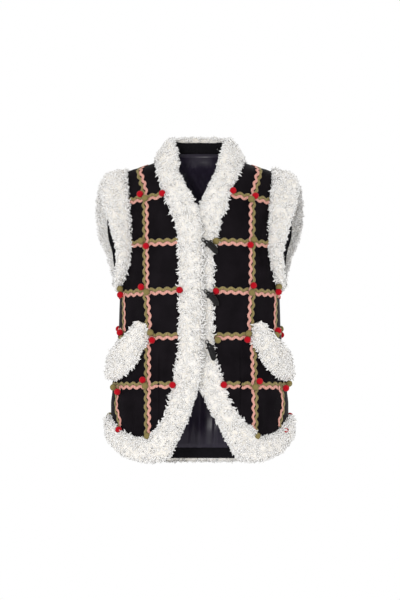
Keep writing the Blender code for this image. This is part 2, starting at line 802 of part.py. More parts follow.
def pompom_places(side):
    """Turns and levels of a panel's pompoms, on the crossings and ends of its tapes."""
    behind = side == "back"
    signs = SIGNS[side]
    main, upper, lower = (profile(rows, "x") for rows in (UPRIGHT[side], SIDE_UPRIGHT, SIDE_UPRIGHT_LOW))
    spots = []
    for row in ROWS:
        level, drop = row["level"], row["side_drop"]
        for sign in signs:
            x = main(level)
            here = row_level_at(x, level, drop)
            by_pocket = row is POCKET_ROW and not behind
            upper_out = -POCKET_PAIR_IN if by_pocket else PAIR_OUT
            lower_out = -POCKET_PAIR_IN if by_pocket else -PAIR_OUT
            spots.append((sign * (x + upper_out), here + PAIR_UP))
            spots.append((sign * (x + lower_out), here - PAIR_UP))
        if behind:
            spots.append((-PAIR_OUT, level + PAIR_UP))
            spots.append((PAIR_OUT, level - PAIR_UP))
        else:
            x = FRONT_SEAM[side](level) + signs[0] * END_FROM_SEAM
            spots.append((x, row_level_at(x, level, drop)))
    for sign in signs:
        third, fifth = (ROWS[k]["level"] - ROWS[k]["side_drop"] for k in (2, 4))
        spots.append((sign * upper(third), third - THIRD_END_DROP))
        spots.append((sign * upper(SIDE_ROW_LEVEL), SIDE_ROW_LEVEL + SIDE_POMPOM_UP))
        spots.append((sign * lower(fifth), fifth - FIFTH_END_DROP))
        for rows, x_at in ((UPRIGHT[side], main), (SIDE_UPRIGHT_LOW, lower)):
            level = rows[-1]["level"] + HEM_POMPOM_RISE
            spots.append((sign * x_at(level), level))
    return [(turn_at_x(x, level, behind), level) for x, level in spots]


def tape_paths(side):
    """Every tape of a panel, with how far it is lifted: the rows, then the uprights over them."""
    behind = side == "back"
    paths = []
    for row in ROWS:
        if row is POCKET_ROW and not behind:
            paths.append((front_row_by_pocket(side), 0.0))
            paths.append((side_row_path(side), 0.0))
        else:
            paths.append((row_path(side, row["level"], row["side_drop"]), 0.0))
    side_rows = SIDE_UPRIGHT if behind else SIDE_UPRIGHT_FRONT
    for sign in SIGNS[side]:
        for rows in (UPRIGHT[side], side_rows, SIDE_UPRIGHT_LOW):
            paths.append((upright_path(side, rows, sign), CROSS_LIFT))
    if behind:
        paths.append((upright_path(side, UPRIGHT_MIDDLE), CROSS_LIFT))
    return paths


def make_rickrack():
    for side in ("left", "right", "back"):
        shapes = []
        for path, lift in tape_paths(side):
            shape = bmesh.new()
            tape(shape, path, lift, side != "back")
            shapes.append(shape)
        for turn, level in pompom_places(side):
            shape = bmesh.new()
            pompom(shape, turn, level)
            shapes.append(shape)
        fused("rickrack_back" if side == "back" else "rickrack_front_" + side, shapes, "rickrack")


def front_row_by_pocket(side):
    """The fourth row, which runs from the front edge to the upright tape and stops at the pocket."""
    level, (sign,) = POCKET_ROW["level"], SIGNS[side]
    first = FRONT_SEAM[side](level) + sign * ROW_MARGIN / 2
    places = [first + (sign * POCKET_ROW_END - first) * j / (ROW_STEPS / 2)
              for j in range(ROW_STEPS // 2 + 1)]
    return [(turn_at_x(x, level), level) for x in places]


def side_row_path(side):
    """The short end of the fourth row between the side seam and the pocket."""
    first, last = SIDE_ROW_TURNS
    turns = [radians(first + (last - first) * j / (ROW_STEPS / 3)) for j in range(ROW_STEPS // 3 + 1)]
    return [(pi - turn if side == "left" else turn, SIDE_ROW_LEVEL) for turn in turns]


# Toggles and their loops.

def toggle_frame(x, level, slope, out, dip):
    """Middle, long axis, cross axis and outward direction of a toggle."""
    turn = turn_at_x(x, level)
    normal = outward(turn, level)
    right = Vector((0, 0, 1)).cross(normal).normalized()
    lean = radians(slope)
    flat = right * cos(lean) - normal.cross(right) * sin(lean)
    axis = flat * cos(radians(dip)) - normal * sin(radians(dip))
    cross = flat.cross(normal)
    return on_body(turn, level, out), axis, cross, cross.cross(axis)


def round_ring(centre, one, other, radius, sides):
    """Points of a circle or ellipse about centre."""
    angles = [2 * pi * k / sides for k in range(sides)]
    return [centre + (one * cos(angle) + other * sin(angle)) * radius for angle in angles]


def make_toggles():
    for number, row in enumerate(TOGGLES, 1):
        middle, axis, cross, normal = toggle_frame(*row.values())
        rings = []
        for along, share in TOGGLE_SHAPE:
            bow = TOGGLE_BOW * (sin(pi * along) - 1)
            centre = middle + axis * (along - 0.5) * TOGGLE_LENGTH + normal * bow
            rings.append(round_ring(centre, cross * TOGGLE_WIDE, normal * TOGGLE_FLAT,
                                    TOGGLE_RADIUS * share, TOGGLE_SIDES))
        loft(f"toggle_{number}", rings, "toggle")
        place = middle - axis * TOGGLE_LENGTH * LOOP_PLACE
        make_loop(f"toggle_loop_{number}", place, axis, cross * LOOP_WIDE, normal * LOOP_FLAT)


def make_loop(name, place, axis, cross, normal):
    """A cord noose round the toggle's upper third."""
    around = TOGGLE_RADIUS + CORD_RADIUS + LOOP_CLEAR
    rings = []
    for centre in round_ring(place, cross, normal, around, LOOP_STEPS):
        rings.append(round_ring(centre, (centre - place).normalized(), axis, CORD_RADIUS, CORD_SIDES))
    loft(name, rings, "cord", closed=True)


def main():
    for old in list(bpy.data.objects):
        bpy.data.objects.remove(old)
    make_shell()
    make_lining()
    make_facings()
    back_strips()
    for side in ("left", "right"):
        front_strip(side)
        make_armhole_trim(side)
        make_pocket(side)
    make_rickrack()
    make_toggles()


main()
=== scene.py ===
import bmesh
import bpy
import numpy as np
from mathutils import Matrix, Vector, noise


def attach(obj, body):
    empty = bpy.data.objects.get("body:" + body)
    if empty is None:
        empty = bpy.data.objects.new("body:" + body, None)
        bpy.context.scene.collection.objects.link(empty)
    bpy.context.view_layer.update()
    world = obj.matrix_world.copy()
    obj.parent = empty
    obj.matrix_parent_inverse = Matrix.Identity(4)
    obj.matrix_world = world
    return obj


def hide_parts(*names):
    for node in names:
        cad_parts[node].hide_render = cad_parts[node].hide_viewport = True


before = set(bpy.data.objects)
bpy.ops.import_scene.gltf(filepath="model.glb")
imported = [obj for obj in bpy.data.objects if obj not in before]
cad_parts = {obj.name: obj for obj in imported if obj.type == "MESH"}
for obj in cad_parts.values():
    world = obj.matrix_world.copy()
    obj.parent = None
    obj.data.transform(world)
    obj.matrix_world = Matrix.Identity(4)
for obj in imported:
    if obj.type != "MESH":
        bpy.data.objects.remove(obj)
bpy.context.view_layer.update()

scene = bpy.context.scene
mm = 0.001


def table(columns, *rows):  # rows of numbers under named columns
    names = columns.split()
    return [dict(zip(names, row)) for row in rows]


# The body's level sections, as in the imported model.
body = {
    "squareness": 2.3,
    "neckLevel": 21.0,
    "hemLevel": -572.0,
    "hemEdge": -627.0,
    "hemBackDrop": 9.0,
    "hemRise": 45.0,
    "hemRiseFrom": -470.0,
    "shoulderRise": 5.0,
    "shoulderRiseFrom": -60.0,
    "shellThick": 6.0,
    "sideGap": 0.17,  # half the gap between two panels at the side seam
    "seamGap": 0.35,  # between a front's cut edge and its pile strip
}
bodyRows = table(
    "level halfWidth frontDepth backDepth",
    (90, 54, 42, 60),
    (75, 62, 45, 63),
    (59, 71.5, 48, 67),
    (46, 80, 50, 70.5),
    (33, 88.5, 52, 73),
    (21, 96, 54, 75),
    (10, 125, 58, 80),
    (0, 157, 63, 86),
    (-20, 163.5, 76, 95),
    (-50, 166.5, 92, 105),
    (-100, 168, 109, 114),
    (-160, 169, 118, 118),
    (-250, 173, 119, 113),
    (-300, 175, 117, 108),
    (-350, 176.5, 116, 106),
    (-400, 181.5, 119, 110),
    (-460, 189, 125, 118),
    (-520, 193, 131, 125),
    (-572, 193, 135, 129),
    (-635, 190, 136, 130),
)
armholeRows = table(
    "level frontReach backReach",
    (0, 0, 0),
    (-7, 13, 15),
    (-16, 22, 25),
    (-28, 30, 34),
    (-45, 40, 44),
    (-70, 47, 53),
    (-110, 56, 60),
    (-160, 61, 61),
    (-186, 58, 56),
    (-206, 52, 50),
    (-222, 43, 41),
    (-234, 29, 28),
    (-243, 0, 0),
)
bandRows = {
    "left": table(
        "seamLevel seamX edgeX edgeLevel",
        (21, -95, -60, 73),
        (12, -93, -50, 60),
        (0, -90, -47.5, 42),
        (-20, -86, -42, 10),
        (-40, -80, -33, -14),
        (-69, -67, -15, -46),
        (-107, -54, 1, -78),
        (-154, -44.5, 8, -132),
        (-360, -44.5, 8, -368),
        (-395, -47, 8, -420),
        (-435, -55, 2, -464),
        (-475, -62, -8, -490),
        (-503, -69, -17, -517),
        (-530, -79, -29, -546),
        (-552, -95, -43, -578),
        (-572, -110, -60, -612),
    ),
    "right": table(
        "seamLevel seamX edgeX edgeLevel",
        (21, 95, 58, 73),
        (12, 89, 48, 60),
        (0, 84, 44, 43),
        (-20, 75, 35, 15),
        (-45, 64, 20, -18),
        (-78, 58, 5, -46),
        (-100, 46, -10, -74),
        (-140, 37, -20, -124),
        (-185, 29.5, -20, -175),
        (-370, 29.5, -20, -378),
        (-408, 36, -19, -430),
        (-443, 50, -5, -465),
        (-478, 60, 11, -492),
        (-509, 76, 22, -515),
        (-535, 95, 39, -547),
        (-553, 113, 55, -580),
        (-572, 130, 73, -612),
    ),
}
overlapRows = table("level share", (-28, 0), (-58, 1), (-478, 1), (-512, 0))


def curve(rows, column):  # a smooth curve through a column, against the first one
    key = next(iter(rows[0]))
    pairs = sorted((row[key], row[column]) for row in rows)
    keys = np.array([pair[0] for pair in pairs], float)
    values = np.array([pair[1] for pair in pairs], float)
    steps = np.diff(values) / np.diff(keys)
    slopes = np.zeros(len(keys))
    slopes[0], slopes[-1] = steps[0], steps[-1]
    for i in range(1, len(keys) - 1):
        before, after = steps[i - 1], steps[i]
        slopes[i] = 0 if before * after <= 0 else 2 * before * after / (before + after)

    def read(at):
        at = np.clip(at, keys[0], keys[-1])
        i = np.clip(np.searchsorted(keys, at, side="right") - 1, 0, len(keys) - 2)
        span = keys[i + 1] - keys[i]
        t = (at - keys[i]) / span
        start = (1 + 2 * t) * (1 - t) ** 2 * values[i] + t * (1 - t) ** 2 * span * slopes[i]
        return start + t * t * (3 - 2 * t) * values[i + 1] + t * t * (t - 1) * span * slopes[i + 1]

    return read


halfWidth = curve(bodyRows, "halfWidth")
frontDepth = curve(bodyRows, "frontDepth")
backDepth = curve(bodyRows, "backDepth")
frontReach = curve(armholeRows, "frontReach")
backReach = curve(armholeRows, "backReach")
overlapShare = curve(overlapRows, "share")
seamX = {side: curve(rows, "seamX") for side, rows in bandRows.items()}
signs = {"left": -1, "right": 1}


def smoothStep(at, start, end):
    t = np.clip((at - start) / (end - start), 0, 1)
    return t * t * (3 - 2 * t)


def power(value, exponent):
    return np.abs(value) ** exponent * np.sign(value)


def unit(vectors):
    return vectors / np.maximum(np.linalg.norm(vectors, axis=-1, keepdims=True), 1e-9)


def onBody(turn, level, out=0.0):  # turn is 0 at +X and a quarter turn at the front
    turn, level, out = np.broadcast_arrays(*(np.asarray(v, float) for v in (turn, level, out)))
    front = np.sin(turn) >= 0

    def depth(at):
        return np.where(front, frontDepth(at), backDepth(at))

    sq = body["squareness"]
    wide, deep = halfWidth(level), depth(level)
    x = wide * power(np.cos(turn), 2 / sq)
    y = -deep * power(np.sin(turn), 2 / sq)
    rise = body["hemRise"] * np.cos(turn) ** 6 * smoothStep(-level, -body["hemRiseFrom"], -body["hemLevel"])
    rise = rise + body["shoulderRise"] * np.cos(turn) ** 4 * smoothStep(level, body["shoulderRiseFrom"], 0)
    wideSlope = halfWidth(level + 1) - halfWidth(level - 1)
    deepSlope = depth(level + 1) - depth(level - 1)
    side, fore = np.abs(x / wide), np.abs(y / deep)
    normal = unit(np.stack((
        power(x / wide, sq - 1) / wide,
        power(y / deep, sq - 1) / deep,
        -(side ** sq * wideSlope / wide + fore ** sq * deepSlope / deep) / 2,
    ), -1))
    return np.stack((x, y, level + rise), -1) + normal * out[..., None]


def outward(turn, level):
    return onBody(turn, level, 1.0) - onBody(turn, level)


def turnAtX(x, level, behind=False):
    share = np.minimum(np.abs(x) / halfWidth(level), 1.0) ** (body["squareness"] / 2)
    turn = np.arccos(np.where(np.asarray(x) >= 0, share, -share))
    return 2 * np.pi - turn if behind else turn


def turnAtReach(reach, level, deep):
    share = np.clip(np.maximum(reach, body["sideGap"]) / deep(level), 0, 1)
    return np.arcsin(share ** (body["squareness"] / 2))


armholeFoot = armholeRows[-1]["level"]


def panelLimits(side, level, margin=0.0):  # first and last turn of a panel, margin in from its outline
    level = np.asarray(level, float)
    inArmhole = (level > armholeFoot) & (level < 0)
    if side == "back":
        reach = np.where(inArmhole, backReach(level), body["sideGap"]) + margin
        first = turnAtReach(reach, level, backDepth)
        return np.pi + first, 2 * np.pi - first
    reach = np.where(inArmhole, frontReach(level), body["sideGap"]) + margin
    edge = turnAtReach(reach, level, frontDepth)
    seam = seamX[side](level) + signs[side] * (body["seamGap"] + margin)
    if side == "left":
        return turnAtX(seam, level), np.pi - edge
    return edge, turnAtX(seam, level)


def newPiece(name, points, faces, materials, nodes=(), faceMaterial=None, smooth=True):
    mesh = bpy.data.meshes.new(name)
    mesh.from_pydata((np.asarray(points) * mm).tolist(), [], faces)
    mesh.validate()
    for material in materials:
        mesh.materials.append(material)
    if faceMaterial is not None:
        mesh.polygons.foreach_set("material_index", np.asarray(faceMaterial, np.int32))
    if smooth:
        mesh.shade_smooth()
    mesh.update()
    piece = bpy.data.objects.new(name, mesh)
    scene.collection.objects.link(piece)
    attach(piece, "root")
    if nodes:
        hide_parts(*nodes)
    return piece


def gridFaces(rows, columns, start=0, closedRows=False, closedColumns=False):
    faces = []
    for i in range(rows if closedRows else rows - 1):
        below = (i + 1) % rows
        for j in range(columns if closedColumns else columns - 1):
            right = (j + 1) % columns
            faces.append((start + i * columns + j, start + i * columns + right,
                          start + below * columns + right, start + below * columns + j))
    return faces


def wallMesh(outer, inner):  # a closed wall between two grids
    rows, columns = outer.shape[:2]
    count = rows * columns
    points = np.concatenate((outer.reshape(-1, 3), inner.reshape(-1, 3)))
    faces = gridFaces(rows, columns)
    faces += [tuple(count + v for v in reversed(face)) for face in gridFaces(rows, columns)]
    rim = [j for j in range(columns)] + [i * columns + columns - 1 for i in range(1, rows)]
    rim += [(rows - 1) * columns + j for j in range(columns - 2, -1, -1)]
    rim += [i * columns for i in range(rows - 2, 0, -1)]
    for one, two in zip(rim, rim[1:] + rim[:1]):
        faces.append((two, one, count + one, count + two))
    return points, faces


def turnOut(points, faces):  # makes the faces of a closed mesh look outwards
    volume = 0.0
    for face in faces:
        a, b, c = (points[v] for v in face[:3])
        volume += np.dot(a, np.cross(b, c))
        if len(face) == 4:
            volume += np.dot(a, np.cross(c, points[face[3]]))
    return faces if volume > 0 else [tuple(reversed(face)) for face in faces]


def catmull(points, steps, closed):  # smooth points between those of the first axis
    count = len(points)
    spans = count if closed else count - 1
    found = []
    for i in range(spans):
        if closed:
            a, b, c, d = (points[(i + k) % count] for k in (-1, 0, 1, 2))
        else:
            a, b, c, d = (points[min(max(i + k, 0), count - 1)] for k in (-1, 0, 1, 2))
        for t in np.arange(steps) / steps:
            found.append(0.5 * (2 * b + (c - a) * t + (2 * a - 5 * b + 4 * c - d) * t * t
                                + (3 * b - a - 3 * c + d) * t ** 3))
    if not closed:
        found.append(points[-1])
    return np.array(found)


def roundRings(rings, steps):  # smooths closed rings, given as (ring, point, xyz)
    return np.swapaxes(catmull(np.swapaxes(rings, 0, 1), steps, True), 0, 1)


def resample(stations, step):  # stations are rows of numbers whose first three are a place
    stations = np.asarray(stations, float)
    lengths = np.linalg.norm(np.diff(stations[:, :3], axis=0), axis=1)
    run = np.concatenate(([0], np.cumsum(lengths)))
    at = np.linspace(0, run[-1], max(2, round(run[-1] / step) + 1))
    return np.stack([np.interp(at, run, stations[:, k]) for k in range(stations.shape[1])], 1)


def hexColour(text):
    parts = [int(text[i:i + 2], 16) / 255 for i in (1, 3, 5)]
    return tuple(p / 12.92 if p <= 0.04045 else ((p + 0.055) / 1.055) ** 2.4 for p in parts) + (1.0,)


def addNode(tree, kind, values=None, links=None, **settings):
    node = tree.nodes.new(kind)
    for name, value in settings.items():
        setattr(node, name, value)
    for name, value in (values or {}).items():
        node.inputs[name].default_value = value
    for name, source in (links or {}).items():
        tree.links.new(source, node.inputs[name])
    return node


def newMaterial(name, values):
    material = bpy.data.materials.new(name)
    material.use_nodes = True
    tree = material.node_tree
    shader = tree.nodes["Principled BSDF"]
    for key, value in values.items():
        shader.inputs[key].default_value = value
    place = addNode(tree, "ShaderNodeTexCoord").outputs["Object"]
    return material, tree, shader, place


def perMetre(sizeMm):  # texture scale for a pattern of this size
    return 1000.0 / sizeMm


def colourBetween(tree, factor, low, high):
    ramp = addNode(tree, "ShaderNodeValToRGB", links={"Fac": factor})
    ramp.color_ramp.elements[0].color = hexColour(low)
    ramp.color_ramp.elements[1].color = hexColour(high)
    return ramp


# Brushed cotton twill: a matt black cloth. Its colour is blotched lighter in broad patches, partly the faint
# bloom of raised fibres and partly painted light standing in for soft folds catching the lamp.
cotton = {"deep": "#020102", "worn": "#191519", "threadMm": 0.9, "bloomAndFoldLightMm": 38.0}


def brushedCotton():
    material, tree, shader, place = newMaterial("brushed_cotton_twill", {
        "Roughness": 0.6, "Specular IOR Level": 0.03, "Sheen Weight": 0.006, "Sheen Roughness": 0.4})
    # Painted light mixed with fibre bloom: broad lighter blotches in the colour stand in for soft folds
    # catching the lamp.
    cloud = addNode(tree, "ShaderNodeTexNoise", {"Scale": perMetre(cotton["bloomAndFoldLightMm"]), "Detail": 4.0},
                    {"Vector": place})
    tint = colourBetween(tree, cloud.outputs["Fac"], cotton["deep"], cotton["worn"])
    tree.links.new(tint.outputs["Color"], shader.inputs["Base Color"])
    # Twill ribs run on the slant; they are drawn at their true spacing.
    slant = addNode(tree, "ShaderNodeMapping", {"Rotation": (0, 0.78, 0)}, {"Vector": place})
    rib = addNode(tree, "ShaderNodeTexWave", {"Scale": perMetre(cotton["threadMm"]) / 6.28,
                                              "Distortion": 1.5}, {"Vector": slant.outputs["Vector"]})
    bump = addNode(tree, "ShaderNodeBump", {"Strength": 0.25, "Distance": 0.0004},
                   {"Height": rib.outputs["Fac"]})
    tree.links.new(bump.outputs["Normal"], shader.inputs["Normal"])
    return material


# Acetate satin: smooth filament yarn. Its violet colour is streaked up and down between dark and light,
# painted shade and painted highlight standing in for lit and shaded folds.
satin = {"dark": "#15111b", "light": "#2a2434", "threadMm": 0.6}


def satinLining():
    material, tree, shader, place = newMaterial("acetate_satin", {
        "Roughness": 0.3, "Specular IOR Level": 0.2, "Anisotropic": 0.4, "Sheen Weight": 0.01})
    # Painted shade and painted highlight: the colour is stretched into up-and-down streaks, dark between and
    # light on top, like folds under the lamp.
    streak = addNode(tree, "ShaderNodeMapping", {"Scale": (1, 1, 0.06)}, {"Vector": place})
    cloud = addNode(tree, "ShaderNodeTexNoise", {"Scale": perMetre(6), "Detail": 3.0},
                    {"Vector": streak.outputs["Vector"]})
    tint = colourBetween(tree, cloud.outputs["Fac"], satin["dark"], satin["light"])
    tree.links.new(tint.outputs["Color"], shader.inputs["Base Color"])
    weave = addNode(tree, "ShaderNodeTexNoise", {"Scale": perMetre(satin["threadMm"])}, {"Vector": place})
    bump = addNode(tree, "ShaderNodeBump", {"Strength": 0.08, "Distance": 0.0003},
                   {"Height": weave.outputs["Fac"]})
    tree.links.new(bump.outputs["Normal"], shader.inputs["Normal"])
    return material


# Black cotton tape: a plain woven strip, duller than the satin beside it.
def cottonTape():
    material, tree, shader, place = newMaterial("cotton_tape", {
        "Roughness": 0.85, "Specular IOR Level": 0.1})
    cloud = addNode(tree, "ShaderNodeTexNoise", {"Scale": perMetre(9), "Detail": 5.0}, {"Vector": place})
    tint = colourBetween(tree, cloud.outputs["Fac"], "#08070a", "#131115")
    tree.links.new(tint.outputs["Color"], shader.inputs["Base Color"])
    bump = addNode(tree, "ShaderNodeBump", {"Strength": 0.3, "Distance": 0.0006},
                   {"Height": cloud.outputs["Fac"]})
    tree.links.new(bump.outputs["Normal"], shader.inputs["Normal"])
    return material


# Sherpa fleece: crimped acrylic locks, white at the tips; the cream at the roots and on the backing is
# painted shade for the hollows deep in the pile.
fleece = {"root": "#d7d1c6", "middle": "#e1deda", "tip": "#e5e4e2", "crimpMm": 2.2, "patchMm": 22.0}


def sherpaFleece():
    material, tree, shader, place = newMaterial("sherpa_fleece", {
        "Roughness": 0.95, "Specular IOR Level": 0.1, "Sheen Weight": 0.1, "Sheen Roughness": 0.7,
        "Subsurface Weight": 0.25, "Subsurface Scale": 0.003, "Subsurface Radius": (1, 1, 0.9)})
    reach = addNode(tree, "ShaderNodeAttribute", attribute_name="reach")
    patch = addNode(tree, "ShaderNodeTexNoise", {"Scale": perMetre(fleece["patchMm"]), "Detail": 3.0},
                    {"Vector": place})
    shift = addNode(tree, "ShaderNodeMath", {1: 0.5}, {0: patch.outputs["Fac"]}, operation="SUBTRACT")
    lifted = addNode(tree, "ShaderNodeMath", {1: 0.5}, {0: shift.outputs[0], 2: reach.outputs["Fac"]},
                     operation="MULTIPLY_ADD")
    # Painted shade: the colour runs from cream at the roots and on the backing to white at the tips, for the
    # shade deep in the pile.
    ramp = colourBetween(tree, lifted.outputs[0], fleece["root"], fleece["tip"])
    middle = ramp.color_ramp.elements.new(0.35)
    middle.color = hexColour(fleece["middle"])
    tree.links.new(ramp.outputs["Color"], shader.inputs["Base Color"])
    crimp = addNode(tree, "ShaderNodeTexNoise", {"Scale": perMetre(fleece["crimpMm"]), "Detail": 3.0},
                    {"Vector": place})
    bump = addNode(tree, "ShaderNodeBump", {"Strength": 0.15, "Distance": 0.001},
                   {"Height": crimp.outputs["Fac"]})
    tree.links.new(bump.outputs["Normal"], shader.inputs["Normal"])
    return material


# Cotton rickrack: a flat braid pulled into waves, with a herringbone in its bump; its colour follows the same
# pattern, lighter on the ridges as painted highlight.
braid = {"olive": ("#655a34", "#8f8152"), "salmon": ("#b0766a", "#d29f92"), "plaitMm": 1.6}


def cottonBraid(colour):
    low, high = braid[colour]
    material, tree, shader, place = newMaterial("cotton_rickrack_" + colour, {
        "Roughness": 0.8, "Specular IOR Level": 0.25, "Sheen Weight": 0.1})
    plait = addNode(tree, "ShaderNodeTexWave", {"Scale": perMetre(braid["plaitMm"]) / 6.28, "Distortion": 4.0,
                                               "Detail": 2.0, "Detail Scale": 2.0}, {"Vector": place})
    # Painted highlight: the colour is lighter where the plait's bump is highest.
    tint = colourBetween(tree, plait.outputs["Fac"], low, high)
    tree.links.new(tint.outputs["Color"], shader.inputs["Base Color"])
    bump = addNode(tree, "ShaderNodeBump", {"Strength": 0.6, "Distance": 0.0006},
                   {"Height": plait.outputs["Fac"]})
    tree.links.new(bump.outputs["Normal"], shader.inputs["Normal"])
    return material


# Felted wool balls: rolled by hand, matt with a short nap.
felt = {"red": ("#8b0010", "#b30016"), "olive": ("#655a34", "#85784a"), "napMm": 1.1}


def woolFelt(colour):
    low, high = felt[colour]
    material, tree, shader, place = newMaterial("wool_felt_" + colour, {
        "Roughness": 0.95, "Specular IOR Level": 0.08, "Sheen Weight": 0.06, "Sheen Roughness": 0.6})
    nap = addNode(tree, "ShaderNodeTexNoise", {"Scale": perMetre(felt["napMm"]), "Detail": 4.0},
                  {"Vector": place})
    tint = colourBetween(tree, nap.outputs["Fac"], low, high)
    tree.links.new(tint.outputs["Color"], shader.inputs["Base Color"])
    bump = addNode(tree, "ShaderNodeBump", {"Strength": 0.5, "Distance": 0.0006},
                   {"Height": nap.outputs["Fac"]})
    tree.links.new(bump.outputs["Normal"], shader.inputs["Normal"])
    return material


# Polished buffalo horn: near black, with a wet gloss and faint brown streaks along the grain.
def polishedHorn():
    material, tree, shader, place = newMaterial("polished_horn", {
        "Roughness": 0.14, "Specular IOR Level": 0.22})
    grain = addNode(tree, "ShaderNodeMapping", {"Scale": (1, 1, 0.25)}, {"Vector": place})
    streak = addNode(tree, "ShaderNodeTexNoise", {"Scale": perMetre(3), "Detail": 3.0},
                     {"Vector": grain.outputs["Vector"]})
    tint = colourBetween(tree, streak.outputs["Fac"], "#020202", "#080607")
    tree.links.new(tint.outputs["Color"], shader.inputs["Base Color"])
    return material


# Waxed cotton cord: a round black braid.
def waxedCord():
    material, tree, shader, place = newMaterial("waxed_cotton_cord", {
        "Roughness": 0.6, "Specular IOR Level": 0.25})
    lay = addNode(tree, "ShaderNodeTexNoise", {"Scale": perMetre(0.8)}, {"Vector": place})
    tint = colourBetween(tree, lay.outputs["Fac"], "#060606", "#161416")
    tree.links.new(tint.outputs["Color"], shader.inputs["Base Color"])
    bump = addNode(tree, "ShaderNodeBump", {"Strength": 0.5, "Distance": 0.0004},
                   {"Height": lay.outputs["Fac"]})
    tree.links.new(bump.outputs["Normal"], shader.inputs["Normal"])
    return material


cottonMaterial = brushedCotton()
satinMaterial = satinLining()
tapeMaterial = cottonTape()
fleeceMaterial = sherpaFleece()
braidMaterials = [cottonBraid("olive"), cottonBraid("salmon")]
feltMaterials = [woolFelt("red"), woolFelt("olive")]
hornMaterial = polishedHorn()
cordMaterial = waxedCord()
print("materials made")


# Camera, at the photograph's own scale in the plane of the front.
view = {"mmPerPixel": 2.14, "middlePixelX": 199.7, "shoulderPixelY": 171.8, "width": 400, "height": 600,
        "distance": 7000.0, "frontPlane": -120.0}


def makeCamera():
    data = bpy.data.cameras.new("camera")
    data.sensor_fit = "VERTICAL"
    data.sensor_height = 36.0
    data.lens = data.sensor_height * view["distance"] / (view["height"] * view["mmPerPixel"])
    data.clip_end = 100
    camera = bpy.data.objects.new("camera", data)
    x = (view["width"] / 2 - view["middlePixelX"]) * view["mmPerPixel"]
    z = (view["shoulderPixelY"] - view["height"] / 2) * view["mmPerPixel"]
    camera.location = Vector((x, view["frontPlane"] - view["distance"], z)) * mm
    camera.rotation_euler = (np.pi / 2, 0, 0)
    scene.collection.objects.link(camera)
    scene.camera = camera


def makeLight(name, place, size, watts):
    data = bpy.data.lights.new(name, "AREA")
    data.size = size
    data.energy = watts
    light = bpy.data.objects.new(name, data)
    light.location = place
    aim = Vector((0, 0, -0.28)) - light.location
    light.rotation_euler = aim.to_track_quat("-Z", "Y").to_euler()
    scene.collection.objects.link(light)


studio = {"worldStrength": 1.0, "floorLevel": -1.4, "floorSize": 8.0,
          "lights": (("key", (-0.6, -4.0, 0.0), 0.3, 60), ("rim", (2.2, 2.6, 1.4), 1.4, 60))}


def makeStudio():
    world = bpy.data.worlds.new("studio")
    world.use_nodes = True
    scene.world = world
    world.node_tree.nodes["Background"].inputs["Color"].default_value = (1, 1, 1, 1)
    world.node_tree.nodes["Background"].inputs["Strength"].default_value = studio["worldStrength"]
    for name, place, size, watts in studio["lights"]:
        makeLight(name, place, size, watts)
    half = studio["floorSize"] / 2
    mesh = bpy.data.meshes.new("floor")
    corners = [(x * half, y * half, studio["floorLevel"]) for x, y in ((-1, -1), (1, -1), (1, 1), (-1, 1))]
    mesh.from_pydata(corners, [], [(0, 1, 2, 3)])
    paint = newMaterial("matt_white_paint", {"Base Color": (0.93, 0.93, 0.93, 1), "Roughness": 0.9})[0]
    mesh.materials.append(paint)
    floor = bpy.data.objects.new("floor", mesh)
    scene.collection.objects.link(floor)
    scene.view_settings.view_transform = "Standard"


makeCamera()
makeStudio()
print("camera and studio made")


# Shell panels: two layers of cotton over wadding, with soft creases and one dart in each front.
shell = {"rowMm": 5.0, "columns": 44, "edgeRoll": 1.6, "edgeRollWidth": 7.0, "puff": 1.4,
         "dartX": 88.0, "dartTop": -376.0, "dartDepth": 2.2, "dartHalfWidth": 1.6,
         "dartSwell": 0.8, "dartSwellHalfWidth": 9}
creaseRows = table(  # x is out from the middle; a trough has a depth below zero
    "x top foot lean halfWidth depth",
    (70, 0, -60, 0.10, 7, -2.0),
    (98, -10, -120, 0.05, 8, -2.0),
    (138, -70, -235, -0.04, 9, -3.0),
    (150, -110, -240, -0.12, 8, 2.0),
    (96, -60, -142, -0.16, 9, 2.0),
    (82, -165, -246, 0.08, 10, -2.0),
    (140, -262, -345, 0.02, 8, -3.0),
    (92, -270, -345, -0.10, 10, -2.0),
    (128, -300, -352, 0.20, 7, -2.4),
    (72, -362, -448, 0.12, 8, -3.0),
    (102, -365, -450, 0.02, 8, -2.2),
    (140, -470, -566, 0.10, 8, -3.6),
    (152, -462, -560, -0.06, 7, -2.8),
    (126, -480, -570, -0.12, 7, -2.6),
    (98, -470, -570, 0.06, 8, -2.4),
    (160, -400, -455, 0.15, 7, -2.4),
)
backCreaseRows = table(
    "x top foot lean halfWidth depth",
    (-132, -60, -230, 0.06, 13, -2.8),
    (128, -70, -240, -0.05, 13, -2.2),
    (-60, -20, -140, 0.05, 14, -1.4),
    (48, -30, -160, -0.08, 15, -1.6),
    (-30, -250, -350, 0.05, 16, -1.5),
    (34, -262, -352, -0.04, 14, -1.3),
    (-120, -255, -380, 0.10, 13, -2.0),
    (118, -262, -400, -0.08, 13, -2.0),
    (-78, -380, -560, -0.05, 15, -1.8),
    (66, -400, -560, 0.06, 14, -2.0),
    (8, -440, -566, 0.03, 15, -1.5),
    (-146, -430, -560, 0.04, 12, -2.0),
    (144, -450, -560, -0.02, 12, -2.0),
)


